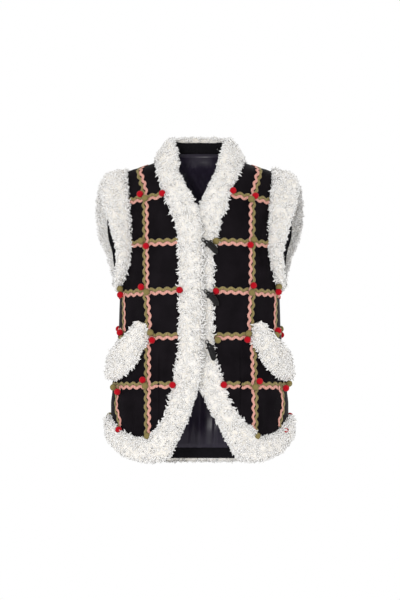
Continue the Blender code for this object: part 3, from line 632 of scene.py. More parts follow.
def shellOut(side, turn, level):
    x = onBody(turn, level)[..., 0]
    rows = backCreaseRows if side == "back" else creaseRows
    across = x if side == "back" else np.abs(x)
    out = np.zeros_like(x)
    for row in rows:
        reach = smoothStep(row["top"] - level, -12, 26) * smoothStep(level - row["foot"], -12, 26)
        place = row["x"] + row["lean"] * (row["top"] - level)
        out += row["depth"] * reach * np.exp(-((across - place) / row["halfWidth"]) ** 2)
    if side != "back":
        dart = smoothStep(shell["dartTop"] - level, 0, 25)
        out -= shell["dartDepth"] * dart * np.exp(-((across - shell["dartX"]) / shell["dartHalfWidth"]) ** 2)
        swell = np.exp(-((across - shell["dartX"]) / shell["dartSwellHalfWidth"]) ** 2)
        out += shell["dartSwell"] * dart * swell
    return out


def panelColumns(side, level):  # turns of a row's columns, closer together beside the dart
    first, last = panelLimits(side, level)
    turns = first + (last - first) * np.linspace(0, 1, shell["columns"])
    if side != "back":
        offsets = np.array((-5, -2.6, -1.4, -0.6, 0, 0.6, 1.4, 2.6, 5.0))
        dart = turnAtX(signs[side] * (shell["dartX"] + offsets), level)
        turns = np.sort(np.concatenate((turns, np.clip(dart, first + 1e-4, last - 1e-4))))
    return turns


def makeShell(side, name, node):
    top = body["neckLevel"] - 1
    rows = round((top - body["hemLevel"]) / shell["rowMm"])
    levels = np.linspace(top, body["hemLevel"] + body["seamGap"], rows)
    turns = np.array([panelColumns(side, level) for level in levels])
    grid = np.repeat(levels[:, None], turns.shape[1], 1)
    flat = onBody(turns, grid)
    toSide = np.linalg.norm(flat - flat[:, :1], axis=-1)
    toOther = np.linalg.norm(flat - flat[:, -1:], axis=-1)
    roll = smoothStep(np.minimum(toSide, toOther), 0, shell["edgeRollWidth"])
    out = shellOut(side, turns, grid) * roll - shell["edgeRoll"] * (1 - roll)
    inner = np.full_like(out, -body["shellThick"])
    points, faces = wallMesh(onBody(turns, grid, out), onBody(turns, grid, inner))
    return newPiece(name, points, turnOut(points, faces), [cottonMaterial], [node])


for side, name, node in (("left", "shellFrontLeft", "front_left"),
                         ("right", "shellFrontRight", "front_right"),
                         ("back", "shellBack", "back")):
    makeShell(side, name, node)
print("shell made")


# Linings and the black facings between them and the pile.
lining = {"out": -7.6, "behindPile": -12.6, "thick": 1.2, "margin": 2.5, "rowMm": 9.0,
          "backColumns": 168, "frontColumns": 28, "backEnds": (49.0, -600.5), "frontEnds": (12.0, -560.0),
          "neckPile": (-25, 20), "hemPile": (520, 568)}
facing = {"neck": (47, 72.5), "hem": (-599, -624), "out": -10.35, "thick": 1.4, "columns": 70, "rows": 9,
          "endParts": 14, "ripple": 0.5, "rippleWaves": 60}
foldRows = table(
    "x halfWidth height top foot lean",
    (-14, 6, 6.0, -330, -595, 0.06),
    (9, 5, 8.0, -380, -595, -0.05),
    (30, 6, 7.0, -300, -595, 0.10),
    (52, 6, 7.0, -400, -595, 0.04),
    (-44, 6, 8.0, 34, -90, 0.50),
    (-20, 6, 9.0, 36, -130, 0.44),
    (10, 7, 7.0, 30, -150, 0.32),
    (37, 6, 8.0, 20, -120, 0.16),
)
fineFoldRows = table(  # smaller pleats between the main ones
    "x halfWidth height top foot lean",
    (-24, 3, 3.0, -400, -598, 0.12),
    (-3, 3, 3.4, -420, -598, -0.10),
    (19, 3, 3.6, -350, -598, 0.12),
    (41, 3, 3.0, -430, -598, -0.05),
    (-32, 3, 3.4, 34, -90, 0.54),
    (-6, 3, 3.4, 36, -120, 0.48),
    (23, 3, 3.0, 30, -140, 0.26),
    (50, 4, 3.0, 20, -160, 0.12),
)


def behindBand(level):
    return np.maximum(smoothStep(level, *lining["neckPile"]), smoothStep(-level, *lining["hemPile"]))


def liningOut(turn, level):
    out = lining["out"] + (lining["behindPile"] - lining["out"]) * behindBand(level)
    x = onBody(turn, level)[..., 0]
    back = np.sin(turn) < 0
    for row in foldRows + fineFoldRows:
        below = row["top"] - level
        along = smoothStep(below, 0, 60) * smoothStep(level - row["foot"], -40, 40)
        across = (x - row["x"] - row["lean"] * below) / row["halfWidth"]
        out = out - np.where(back, row["height"] * along * np.exp(-across ** 2), 0)
    return out


def makeLining(side, name, node):
    part = "back" if side == "back" else "front"
    top, foot = lining[part + "Ends"]
    levels = np.linspace(top, foot, round((top - foot) / lining["rowMm"]))
    columns = lining[part + "Columns"]
    first, last = panelLimits(side, levels, lining["margin"])
    turns = first[:, None] + (last - first)[:, None] * np.linspace(0, 1, columns)
    grid = np.repeat(levels[:, None], columns, 1)
    out = liningOut(turns, grid)
    points, faces = wallMesh(onBody(turns, grid, out), onBody(turns, grid, out - lining["thick"]))
    return newPiece(name, points, turnOut(points, faces), [satinMaterial], [node])


def makeFacing(name, node, levels, seamLevel):
    first, last = panelLimits("back", seamLevel)
    step = (last - first) / facing["endParts"]
    turns = np.linspace(first + step, last - step, facing["columns"])[None, :]
    rows = np.linspace(*levels, facing["rows"])[:, None]
    across = np.sin((rows - levels[0]) / (levels[1] - levels[0]) * np.pi)
    ripple = facing["ripple"] * np.sin(turns * facing["rippleWaves"]) * across
    out = facing["out"] - np.abs(ripple)
    points, faces = wallMesh(onBody(turns, rows, out), onBody(turns, rows, out - facing["thick"]))
    return newPiece(name, points, turnOut(points, faces), [tapeMaterial], [node])


for side, name, node in (("left", "liningFrontLeft", "lining_front_left"),
                         ("right", "liningFrontRight", "lining_front_right"),
                         ("back", "liningBack", "lining_back")):
    makeLining(side, name, node)
makeFacing("facingNeck", "facing_neck", facing["neck"], body["neckLevel"])
makeFacing("facingHem", "facing_hem", facing["hem"], body["hemLevel"])
print("lining made")


# Pile: a lumpy backing with crimped locks rooted in it.
pile = {"out": 7.5, "in": -10.0, "sink": 2.4, "overShift": 7.6, "underShift": -6.4, "overlapSlim": 1.9,
        "hemPuff": 8.0, "hemPuffFrom": -500.0, "stepMm": 4.0, "lumpMm": 13.0, "lumpHeight": 1.6,
        "lockLength": (7.0, 12.5), "lockRadius": (1.45, 2.35), "lockLean": (0.6, 1.3), "lockCurl": (0.8, 2.8),
        "locksPerCm2": 6.4, "innerShare": 0.5, "fan": 1.4,
        "fringe": 1.3, "edge": (4.5, 6.5), "fringeShare": 2.0, "fringeFan": 3.2, "fringeGrow": (1.5, 1.0),
        "overlapGrow": 0.9}
pileSection = table(
    "across outShare",
    (0.07, 0.62),
    (0.24, 0.96),
    (0.52, 1.0),
    (0.80, 0.92),
    (0.90, 0.55),
    (0.94, -0.15),
    (0.89, -0.70),
    (0.60, -1.0),
    (0.20, -0.85),
)
hemCorner = {  # the free edge where a front's strip turns into its hem
    "left": table("x level", (-79, -623), (-104, -627)),
    "right": table("x level", (91, -623), (118, -627)),
}


def stripRings(stations):  # stations: seam turn, seam level, edge turn, edge level, shift, slimming
    seamTurn, seamLevel, edgeTurn, edgeLevel, shift, thin = np.asarray(stations).T
    puff = pile["hemPuff"] * smoothStep(-seamLevel, -pile["hemPuffFrom"], -body["hemLevel"])
    middle = (pile["out"] + pile["in"]) / 2
    half = (pile["out"] - pile["in"]) / 2 - thin
    ring = [onBody(seamTurn, seamLevel, -1.0)]
    for row in pileSection:
        turn = seamTurn + (edgeTurn - seamTurn) * row["across"]
        level = seamLevel + (edgeLevel - seamLevel) * row["across"]
        rise = shift * smoothStep(row["across"], 0.12, 0.55)
        out = middle + rise + half * row["outShare"] + puff * max(row["outShare"], 0)
        ring.append(onBody(turn, level, out))
    ring.append(onBody(seamTurn, seamLevel, -body["shellThick"] + 1.0))
    return np.swapaxes(np.array(ring), 0, 1)


def bandStations(side):
    rows = bandRows[side]
    edgeX, edgeLevel = curve(rows, "edgeX"), curve(rows, "edgeLevel")
    shift = pile["overShift"] if side == "left" else pile["underShift"]
    shoulder = np.pi if side == "left" else 0.0
    found = [(shoulder, body["neckLevel"], shoulder, 76.0, 0, 0)]
    for level in (20, 17, 14, 10, 5, 0, *range(-7, int(body["hemLevel"]), -8), body["hemLevel"]):
        edge = float(edgeLevel(level))
        share = float(overlapShare(edge))
        found.append((float(turnAtX(seamX[side](level), level)), level,
                      float(turnAtX(edgeX(level), edge)), edge, shift * share, pile["overlapSlim"] * share))
    corner = found[-1][:2]
    for row in hemCorner[side]:
        found.append((*corner, float(turnAtX(row["x"], row["level"])), row["level"], 0, 0))
    first, last = (float(limit) for limit in panelLimits(side, body["hemLevel"]))
    turns = np.linspace(first, last, 12) if side == "left" else np.linspace(last, first, 12)
    for turn in turns[1:]:
        found.append((turn, body["hemLevel"], turn, body["hemEdge"], 0, 0))
    return found


def fineStations(stations):  # spaced evenly along the middle of the strip
    stations = np.asarray(stations, float)
    middle = onBody((stations[:, 0] + stations[:, 2]) / 2, (stations[:, 1] + stations[:, 3]) / 2)
    edge = onBody(stations[:, 2], stations[:, 3])
    return resample(np.hstack(((middle + edge) / 2, stations)), pile["stepMm"])[:, 3:]


def gridNormals(points, closedRows):
    along = np.roll(points, -1, 0) - np.roll(points, 1, 0)
    if not closedRows:
        along[0], along[-1] = points[1] - points[0], points[-1] - points[-2]
    around = np.roll(points, -1, 1) - np.roll(points, 1, 1)
    normals = unit(np.cross(along, around))
    heart = points.mean(1, keepdims=True)
    if np.sum((points - heart) * normals) < 0:
        normals = -normals
    return normals


def lumps(points, size, seed):
    flat = points.reshape(-1, 3) / size
    shift = Vector((seed * 7.3, seed * 3.1, seed * 5.7))
    found = [noise.noise(Vector(point) + shift) for point in flat.tolist()]
    return np.array(found).reshape(points.shape[:-1])


def makeLocks(roots, normals, away, fringe, grow, rng, droop):  # curled locks: their points and their faces
    count = len(roots)
    sideways = rng.normal(size=(count, 3)) + away + np.array((0, 0, -droop))
    sideways = unit(sideways - normals * np.sum(sideways * normals, 1, keepdims=True))
    across = np.cross(normals, sideways)
    length, radius, lean, curl = (rng.uniform(*pile[key], count)[:, None] for key in (
        "lockLength", "lockRadius", "lockLean", "lockCurl"))
    twist = rng.normal(0, 0.5, count)[:, None] * np.where(fringe, 1.5, 1.0)  # fringe curls lie flat
    curl = curl * np.where(fringe, 0.35, 1.0)
    length = length * grow
    angles = np.arange(3) * 2 * np.pi / 3
    widths = (0.9, 1.15, 1.0, 0.6)
    place = roots - normals * 1.2
    rings = []
    for k, width in enumerate(widths):
        angle = lean + curl * (k / len(widths)) ** 1.3 * 1.3
        aside = sideways * np.cos(twist * k) + across * np.sin(twist * k)
        ahead = unit(normals * np.cos(angle) + aside * np.sin(angle))
        one = unit(np.cross(ahead, across + normals * 0.01))
        two = np.cross(ahead, one)
        rings.append(place[:, None] + (one[:, None] * np.cos(angles)[:, None]
                                       + two[:, None] * np.sin(angles)[:, None]) * (radius * width)[:, None])
        place = place + ahead * length / len(widths)
    points = np.concatenate((np.concatenate(rings, 1), (place - ahead * length * 0.1)[:, None]), 1)
    tip = 3 * len(widths)
    own = [(k * 3 + j, k * 3 + (j + 1) % 3, k * 3 + 3 + (j + 1) % 3, k * 3 + 3 + j)
           for k in range(len(widths) - 1) for j in range(3)]
    own += [(tip - 3 + j, tip - 3 + (j + 1) % 3, tip) for j in range(3)]
    faces = [tuple(v + n * (tip + 1) for v in face) for n in range(count) for face in own]
    # how far along its lock each point lies; the fleece colour uses it to paint shade at the root
    reach = np.tile(np.repeat((0.1, 0.5, 0.8, 1.0, 1.0), (3, 3, 3, 3, 1)), count)
    return points.reshape(-1, 3), faces, reach


# outer and inner are the first and last section point with locks on the pile's outside and inside.
def makePile(name, node, rings, closed, seed, outer, inner, droop=0.35, overlap=0.0):
    fine = roundRings(rings, 3)
    normals = gridNormals(fine, closed)
    heart = fine.mean(1, keepdims=True)
    room = np.linalg.norm(fine - heart, axis=-1)
    sink = np.minimum(pile["sink"], room * 0.4)
    lump = lumps(fine, pile["lumpMm"], seed) * pile["lumpHeight"]
    backing = fine + normals * (lump - sink)[..., None]
    rows, columns = backing.shape[:2]
    faces = gridFaces(rows, columns, closedRows=closed, closedColumns=True)
    points = backing.reshape(-1, 3)
    if not closed:
        faces += [tuple(range(columns)), tuple((rows - 1) * columns + j for j in range(columns - 1, -1, -1))]
    faces = turnOut(points, faces)
    rng = np.random.default_rng(seed)
    below = np.roll(backing, -1, 0)
    right = np.roll(backing, -1, 1)
    areas = np.linalg.norm(np.cross(below - backing, right - backing), axis=-1)
    if not closed:
        areas[-1] = 0
    at = np.arange(columns) / 3
    shares = np.where((at >= outer[0]) & (at < outer[1]), 1.0, 0)
    shares = np.where((at >= inner[0]) & (at < inner[1]), pile["innerShare"], shares)
    fringe = (at < pile["fringe"]) | ((at > pile["edge"][0]) & (at < pile["edge"][1]))
    shares[fringe] = pile["fringeShare"]  # curls hang over the seam and over the free edge
    weights = areas * shares
    count = int(weights.sum() / 100 * pile["locksPerCm2"])
    picked = rng.choice(rows * columns, count, p=(weights / weights.sum()).ravel())
    i, j = np.divmod(picked, columns)
    u, v = rng.uniform(size=(2, count, 1))
    nextI, nextJ = (i + 1) % rows, (j + 1) % columns
    roots = (backing[i, j] * (1 - u) * (1 - v) + backing[nextI, j] * u * (1 - v)
             + backing[i, nextJ] * (1 - u) * v + backing[nextI, nextJ] * u * v)
    spread = roots - heart[i, 0]
    away = spread / np.maximum(room.max(1)[i, None], 1e-6)
    away = away * np.where(fringe[j], pile["fringeFan"], pile["fan"])[:, None]
    level = roots[:, 2]  # longer curls close the line where one front lies on the other
    edgeGrow = pile["fringeGrow"][1] + overlap * smoothStep(-level, 95, 130) * smoothStep(level, -430, -395)
    grow = np.where(at[j] < pile["fringe"], pile["fringeGrow"][0], np.where(fringe[j], edgeGrow, 1))
    locks, lockFaces, reach = makeLocks(
        roots, normals[i, j], away, fringe[j][:, None], grow[:, None], rng, droop)
    faces += [tuple(v + len(points) for v in face) for face in lockFaces]
    piece = newPiece(name, np.concatenate((points, locks)), faces, [fleeceMaterial], [node])
    # the backing gets a low reach, so it takes the painted shade of the lock roots
    layer = piece.data.attributes.new("reach", "FLOAT", "POINT")
    layer.data.foreach_set("value", np.concatenate((np.full(len(points), 0.2), reach)).astype(np.float32))
    print(name, "locks", count)
    return piece


for number, side in enumerate(("left", "right")):
    rings = stripRings(fineStations(bandStations(side)))
    makePile("pileFront" + side.title(), "band_front_" + side, rings, False, 11 + number, (0, 7), (7, 11),
             overlap=pile["overlapGrow"] * (side == "left"))

collar = {"backTop": 86.5, "sideDrop": 10.5}


def collarEdge(turn):  # the stand's top edge, lower towards the shoulders
    return collar["backTop"] - collar["sideDrop"] * abs(np.cos(turn)) ** 3


def hemEdge(turn):  # the back hem's lower edge, lowest in the middle
    return body["hemEdge"] - body["hemBackDrop"] * (1 - np.cos(turn) ** 4)


for number, (name, node, seamLevel, edgeLevel) in enumerate((
        ("collarBack", "collar_back", body["neckLevel"], collarEdge),
        ("pileHemBack", "band_hem_back", body["hemLevel"], hemEdge))):
    first, last = (float(limit) for limit in panelLimits("back", seamLevel))
    stations = [(turn, seamLevel, turn, edgeLevel(turn), 0, 0) for turn in np.linspace(first, last, 40)]
    makePile(name, node, stripRings(fineStations(stations)), False, 21 + number, (0, 6.7), (6.7, 7.8),
             droop=0.35 if number else -0.25)


# Armhole flanges: the pile stands out from the armhole and is faced with black inside.
flange = {"seam": 0.7, "start": 1.2, "clear": 1.5,
          "facingNear": 0.22, "facingFar": 0.66, "facingOut": -10.2, "facingThick": 1.4}
flangeSection = table(
    "across out",
    (0.08, 8.5),
    (0.45, 10.0),
    (0.80, 8.5),
    (0.97, 4.0),
    (0.98, -4.0),
    (0.80, -8.0),
    (0.45, -8.6),
    (0.13, -6.0),
)
flangeRows = table(
    "seamLevel frontX frontY frontLevel backX backY backLevel",
    (0, 203, 0, -4, 203, 0, -4),
    (-7, 209, -17, -10, 211, 18, -10),
    (-28, 214, -40, -30, 221, 43, -29),
    (-70, 206, -70, -72, 227, 66, -66),
    (-130, 187, -88, -130, 224, 74, -124),
    (-186, 177, -84, -184, 203, 70, -182),
    (-222, 181, -60, -223, 192, 50, -221),
    (-243, 186, -3, -247, 186, -3, -247),
)


def flangeSections(side):  # rings of the pile and of its facing, round the armhole
    sign = signs[side]
    levels = armholeFoot / 2 * (1 - np.cos(np.linspace(0, np.pi, 60)))
    stops = [(level, "front") for level in levels] + [(level, "back") for level in levels[-2:0:-1]]
    edges = {part: [curve(flangeRows, part + column) for column in ("X", "Y", "Level")]
             for part in ("front", "back")}
    seams, normals, frees = [], [], []
    for level, part in stops:
        if part == "front":
            turn = float(turnAtReach(frontReach(level), level, frontDepth))
            turn = np.pi - turn if sign < 0 else turn
        else:
            turn = float(turnAtReach(backReach(level), level, backDepth))
            turn = np.pi + turn if sign < 0 else 2 * np.pi - turn
        seams.append(onBody(turn, level))
        normals.append(outward(turn, level))
        x, y, z = (float(read(level)) for read in edges[part])
        frees.append(np.array((sign * x, y, z)))
    seams, normals, frees = (np.array(v) for v in (seams, normals, frees))
    centre = np.array((sign * float(halfWidth(armholeFoot / 2)), 0, armholeFoot / 2))
    tangent = unit(np.roll(seams, -1, 0) - np.roll(seams, 1, 0))
    into = centre - seams
    into -= normals * np.sum(into * normals, 1, keepdims=True)
    into = unit(into - tangent * np.sum(into * tangent, 1, keepdims=True))
    root = seams - normals * body["shellThick"] / 2
    axis = frees - root
    length = np.linalg.norm(axis, axis=1, keepdims=True)
    axis = unit(axis)
    start = flange["start"] + body["shellThick"] / 2 * np.abs(np.sum(axis * normals, 1, keepdims=True))
    length, root = length - start, root + axis * start
    rise = unit(np.cross(axis, tangent))
    rise = np.where(np.sum(rise * (seams - centre), 1, keepdims=True) < 0, -rise, rise)
    ring = [seams + into * flange["seam"] - normals]
    for row in flangeSection:
        point = root + axis * (length * row["across"]) + rise * row["out"]
        short = flange["clear"] - np.sum((point - seams) * normals, 1, keepdims=True)
        if row["out"] > 0:
            point = point + normals * np.maximum(short, 0)
        ring.append(point)
    ring.append(seams - normals * (body["shellThick"] - 1) + into * flange["seam"])
    near, far, out = flange["facingNear"], flange["facingFar"], flange["facingOut"]
    under = out - flange["facingThick"]
    strip = [root + axis * (length * across) + rise * off for across, off in (
        (near, out), (far, out), (far, under), (near, under))]
    return np.swapaxes(np.array(ring), 0, 1), np.swapaxes(np.array(strip), 0, 1)


for number, side in enumerate(("left", "right")):
    rings, strip = flangeSections(side)
    makePile("pileArmhole" + side.title(), "armhole_trim_" + side, rings, True, 31 + number,
             (0, 5.4), (5.4, 6.2))
    rows, columns = strip.shape[:2]
    points = strip.reshape(-1, 3)
    faces = turnOut(points, gridFaces(rows, columns, closedRows=True, closedColumns=True))
    newPiece("facingArmhole" + side.title(), points, faces, [tapeMaterial],
             ["facing_armhole_" + side])


# Pocket edges: a thick roll of pile pressed flat against each front.
pocket = {"puff": 17.0, "base": 4.4, "end": 0.6, "outerPuff": 4.0}
pocketRows = table(
    "upperTurn upperLevel lowerTurn lowerLevel",
    (45.5, -319, 52, -325),
    (39, -333, 54.5, -346),
    (30.5, -351, 53.5, -369),
    (19, -369, 49, -386),
    (7, -387, 46.5, -404),
    (-3, -401, 41, -421),
    (-8, -418, 34, -436),
    (-8, -435, 25, -445),
    (0, -446, 14, -449),
)
pocketSection = ((0.0, 0.35), (0.10, 0.75), (0.30, 1.0), (0.70, 1.0), (0.90, 0.75), (1.0, 0.35))


def pocketRings(side):
    rings = []
    for row in pocketRows:
        puff = pocket["puff"] * (pocket["end"] if row in (pocketRows[0], pocketRows[-1]) else 1.0)
        puff += pocket["outerPuff"] * smoothStep(-row["upperTurn"], -24, 0)
        top, base = [], []
        for across, share in pocketSection:
            turn = np.radians(row["upperTurn"] + (row["lowerTurn"] - row["upperTurn"]) * across)
            turn = np.pi - turn if side == "left" else turn
            level = row["upperLevel"] + (row["lowerLevel"] - row["upperLevel"]) * across
            top.append(onBody(turn, level, puff * share))
            base.append(onBody(turn, level, pocket["base"] - 1))
        rings.append(top + base[::-1])
    return catmull(np.array(rings), 5, False)


for number, side in enumerate(("left", "right")):
    makePile("pilePocket" + side.title(), "pocket_welt_" + side, pocketRings(side), False,
             41 + number, (0, 6.5), (11.5, 12), droop=0.2)
print("pile made")


# Rickrack: an olive and a salmon braid side by side, laid as a grid.
rickrack = {"period": 18.2, "wave": 2.1, "width": 6.7, "thick": 1.2, "apart": 6.8, "rowApart": 7.2,
            "stepMm": 1.9, "lag": 0.27, "out": 0.5, "crossLift": 1.3, "crossHalf": 11.0, "rowMargin": 2.0,
            "dartGap": 1.1, "pocketEndX": 116, "sideRowLevel": -343.0, "sideRowDegrees": (1, 25)}
rowRows = table("level sideDrop", (-44, 21), (-149, 6), (-253, 9), (-352, 0), (-456, 4))
uprightRows = {
    "left": table("level x", (13, 128), (2, 129), (-39, 119), (-60, 117), (-253, 115), (-330, 110),
                  (-381, 112), (-566, 112)),
    "right": table("level x", (13, 126), (2, 127), (-39, 118), (-60, 113), (-253, 112), (-330, 109),
                   (-381, 115), (-556, 120)),
    "back": table("level x", (13, 127), (2, 128), (-39, 119), (-60, 116), (-253, 114), (-330, 111),
                  (-568, 114)),
}
sideUprightRows = table("level x", (-259, 164), (-342, 163))
lowUprightRows = table("level x", (-459, 171), (-485, 179), (-520, 180), (-545, 175), (-566, 171))
pocketRow, dartRow = rowRows[3:]


def rowLevel(row, x):
    return row["level"] - row["sideDrop"] * (x / halfWidth(row["level"])) ** 2


def rowPath(side, row):
    first, last = panelLimits(side, row["level"] - row["sideDrop"] * 0.7, rickrack["rowMargin"])
    start, end = panelLimits(side, row["level"], rickrack["rowMargin"])
    first, last = {"left": (start, last), "right": (first, end), "back": (first, last)}[side]
    if row is pocketRow and side != "back":
        inner = turnAtX(signs[side] * rickrack["pocketEndX"], row["level"])
        first, last = (start, inner) if side == "left" else (inner, end)
    turns = np.linspace(float(first), float(last), 160)
    return turns, rowLevel(row, onBody(turns, row["level"])[:, 0])


def uprightPath(side, rows, sign):
    levels = np.linspace(rows[0]["level"], rows[-1]["level"], 60)
    x = sign * curve(rows, "x")(levels)
    return turnAtX(x, levels, side == "back"), levels


def tapeLift(turns, levels, crossing):  # an upright rides over each row that it crosses
    if not crossing:
        return np.zeros_like(levels)
    x = onBody(turns, levels)[:, 0]
    lift = np.zeros_like(levels)
    for row in rowRows:
        lift = np.maximum(lift, np.exp(-((levels - rowLevel(row, x)) / rickrack["crossHalf"]) ** 2))
    return lift * rickrack["crossLift"]


def strands(side, turns, levels, crossing, olive, collect):
    lift = tapeLift(turns, levels, crossing)
    stations = resample(np.column_stack((onBody(turns, levels), turns, levels, lift)), rickrack["stepMm"])
    turns, levels, lift = stations[:, 3:].T
    out = shellOut(side, turns, levels) + rickrack["out"] + lift
    places = onBody(turns, levels, out)
    normals = outward(turns, levels)
    ahead = unit(np.gradient(places, axis=0))
    aside = unit(np.cross(normals, ahead)) * olive
    run = np.concatenate(([0], np.cumsum(np.linalg.norm(np.diff(places, axis=0), axis=1))))
    apart = rickrack["apart" if crossing else "rowApart"]
    lag = rickrack["lag"] if crossing else 0
    for which, shift in ((0, apart / 2), (1, -apart / 2)):
        wave = rickrack["wave"] * np.sin(2 * np.pi * (run / rickrack["period"] + which * lag))
        middle = places + aside * (wave + shift)[:, None]
        along = unit(np.gradient(middle, axis=0))
        across = unit(np.cross(normals, along))
        half, thick = rickrack["width"] / 2, rickrack["thick"]
        ring = [middle + across * (half * w) + normals * (thick * h) for w, h in (
            (-1.0, 0.15), (-0.62, 0.9), (-0.12, 0.75), (0.12, 0.75), (0.62, 0.9), (1.0, 0.15), (0, -0.25))]
        collect.append((np.swapaxes(np.array(ring), 0, 1), which))


def makeRickrack(side, name, node):
    collect = []
    sides = (-1, 1) if side == "back" else (signs[side],)
    for row in rowRows:
        turns, levels = rowPath(side, row)
        upward = 1 if np.cross(outward(turns[20], levels[20]), onBody(turns[21], levels[21])
                               - onBody(turns[20], levels[20]))[2] > 0 else -1
        if side != "back" and row is dartRow:  # the row is caught into the dart's seam
            x = np.abs(onBody(turns, levels)[:, 0]) - shell["dartX"]
            for part in (x < -rickrack["dartGap"], x > rickrack["dartGap"]):
                strands(side, turns[part], levels[part], False, upward, collect)
        else:
            strands(side, turns, levels, False, upward, collect)
    if side != "back":
        turns = np.radians(np.linspace(*rickrack["sideRowDegrees"], 20))
        turns = np.pi - turns if side == "left" else turns
        levels = np.full(20, rickrack["sideRowLevel"])
        strands(side, turns, levels, False, 1 if side == "right" else -1, collect)
    for sign in sides:
        for rows in (uprightRows[side], sideUprightRows, lowUprightRows):
            turns, levels = uprightPath(side, rows, sign)
            outside = np.cross(outward(turns[30], levels[30]), onBody(turns[31], levels[31])
                               - onBody(turns[30], levels[30]))[0] * sign
            strands(side, turns, levels, True, 1 if outside > 0 else -1, collect)
    if side == "back":
        levels = np.linspace(17, -568, 60)
        strands(side, np.full(60, 1.5 * np.pi), levels, True, 1, collect)
    points, faces, which = [], [], []
    start = 0
    for ring, colour in collect:
        rows, columns = ring.shape[:2]
        own = gridFaces(rows, columns, 0, closedColumns=True)
        own += [tuple(range(columns)), tuple((rows - 1) * columns + j for j in range(columns - 1, -1, -1))]
        own = turnOut(ring.reshape(-1, 3), own)
        points.append(ring.reshape(-1, 3))
        faces += [tuple(start + v for v in face) for face in own]
        which += [colour] * len(own)
        start += rows * columns
    return newPiece(name, np.concatenate(points), faces, braidMaterials, [node], which)


for side, name, node in (("left", "rickrackFrontLeft", "rickrack_front_left"),
                         ("right", "rickrackFrontRight", "rickrack_front_right"),
                         ("back", "rickrackBack", "rickrack_back")):
    makeRickrack(side, name, node)
print("rickrack made")


# Felt balls: the fronts' are placed by where the photograph shows them, in its pixels.
balls = {"radius": 7.3, "sink": 1.2, "detail": 3, "dent": 0.35}
frontBalls = {
    "left": table(
        "olive pixelX pixelY",
        (0, 140, 194), (1, 145, 198), (0, 162, 193), (1, 140.8, 241), (0, 145.8, 246), (1, 120, 289),
        (0, 120.2, 294.8), (0, 141, 287), (1, 146.5, 292), (0, 179.5, 290), (0, 119.9, 332.6),
        (1, 121.8, 338.5), (1, 150.2, 332.6), (0, 151.8, 340.2), (1, 113.2, 387.3), (0, 117.3, 391.8),
        (0, 142.5, 380), (1, 145, 386), (0, 172.5, 385), (0, 118.5, 429.7), (1, 147, 436)),
    "right": table(
        "olive pixelX pixelY",
        (0, 233.3, 190.2), (0, 255.5, 195.7), (1, 251.5, 199), (1, 216, 241), (1, 254, 239.5),
        (0, 250.5, 244.8), (0, 216, 291.2), (0, 253.5, 285.5), (1, 252, 292.5), (1, 279, 287),
        (0, 278.6, 291.8), (1, 217.8, 340), (1, 248.7, 333.5), (0, 247.6, 339.6), (0, 278.2, 330.7),
        (1, 276.3, 335.2), (0, 223.8, 384.8), (0, 259.7, 381.3), (1, 255.3, 387), (1, 289, 383.5),
        (0, 286, 388.2), (0, 285, 430.8), (1, 257.5, 436)),
}


def fromPixel(pixelX, pixelY, out):  # turn and level on the front where a centre at this height shows there
    x = (pixelX - view["middlePixelX"]) * view["mmPerPixel"]
    z = (view["shoulderPixelY"] - pixelY) * view["mmPerPixel"]
    axis = (view["shoulderPixelY"] - view["height"] / 2) * view["mmPerPixel"]
    onX, level = x, z
    for _ in range(12):
        limit = float(halfWidth(level)) * 0.9995
        onX = min(max(onX, -limit), limit)
        turn = float(turnAtX(onX, level))
        place = onBody(turn, level, out)
        grow = (view["distance"] + place[1] - view["frontPlane"]) / view["distance"]
        onX += (x * grow - place[0]) * 0.8
        level += axis + (z - axis) * grow - place[2]
    return turn, float(level)


def backBalls():
    main, upper, lower = (curve(rows, "x") for rows in (uprightRows["back"], sideUprightRows, lowUprightRows))
    spots = []
    for number, row in enumerate(rowRows):
        for sign in (-1, 0, 1):
            x = sign * float(main(row["level"]))
            level = float(rowLevel(row, x))
            first, second = (0, 1) if (number + sign) % 2 else (1, 0)
            spots += [(first, x - 5, level + 5), (second, x + 5, level - 5)]
    for sign in (-1, 1):
        spots += [(0, sign * float(upper(-262)), -268), (1, sign * float(upper(-340)), -341),
                  (0, sign * float(lower(-462)), -468), (0, sign * float(lower(-552)), -552),
                  (1, sign * float(main(-556)), -556)]
    spots += [(1, 0, -560), (1, -189, -566), (0, 190, -568), (0, -170, -338), (1, 170, -338), (0, 171, -351)]
    return [(colour, float(turnAtX(x, level, True)), level) for colour, x, level in spots]


def makeBalls(side, name, node):
    if side == "back":
        spots = backBalls()
    else:
        out = rickrack["thick"] + balls["radius"] - balls["sink"]
        spots = [(row["olive"], *fromPixel(row["pixelX"], row["pixelY"], out)) for row in frontBalls[side]]
    shape = bmesh.new()
    bmesh.ops.create_icosphere(shape, subdivisions=balls["detail"], radius=1.0)
    ball = np.array([v.co for v in shape.verts])
    ballFaces = [tuple(v.index for v in face.verts) for face in shape.faces]
    shape.free()
    points, faces, which = [], [], []
    for number, (colour, turn, level) in enumerate(spots):
        out = float(shellOut(side, np.array(turn), np.array(level)))
        centre = onBody(turn, level, out + rickrack["thick"] + balls["radius"] - balls["sink"])
        seed = Vector((number * 3.7, number * 1.9, number * 2.3))
        rough = np.array([noise.noise(Vector(p) * 1.6 + seed) for p in ball.tolist()])
        faces += [tuple(len(points) * len(ball) + v for v in face) for face in ballFaces]
        points.append(centre + ball * (balls["radius"] + balls["dent"] * rough)[:, None])
        which += [colour] * len(ballFaces)
    return newPiece(name, np.concatenate(points), faces, feltMaterials, [node], which)


for side, name, node in (("left", "feltBallsFrontLeft", "rickrack_front_left"),
                         ("right", "feltBallsFrontRight", "rickrack_front_right"),
                         ("back", "feltBallsBack", "rickrack_back")):
    makeBalls(side, name, node)
print("felt balls made")


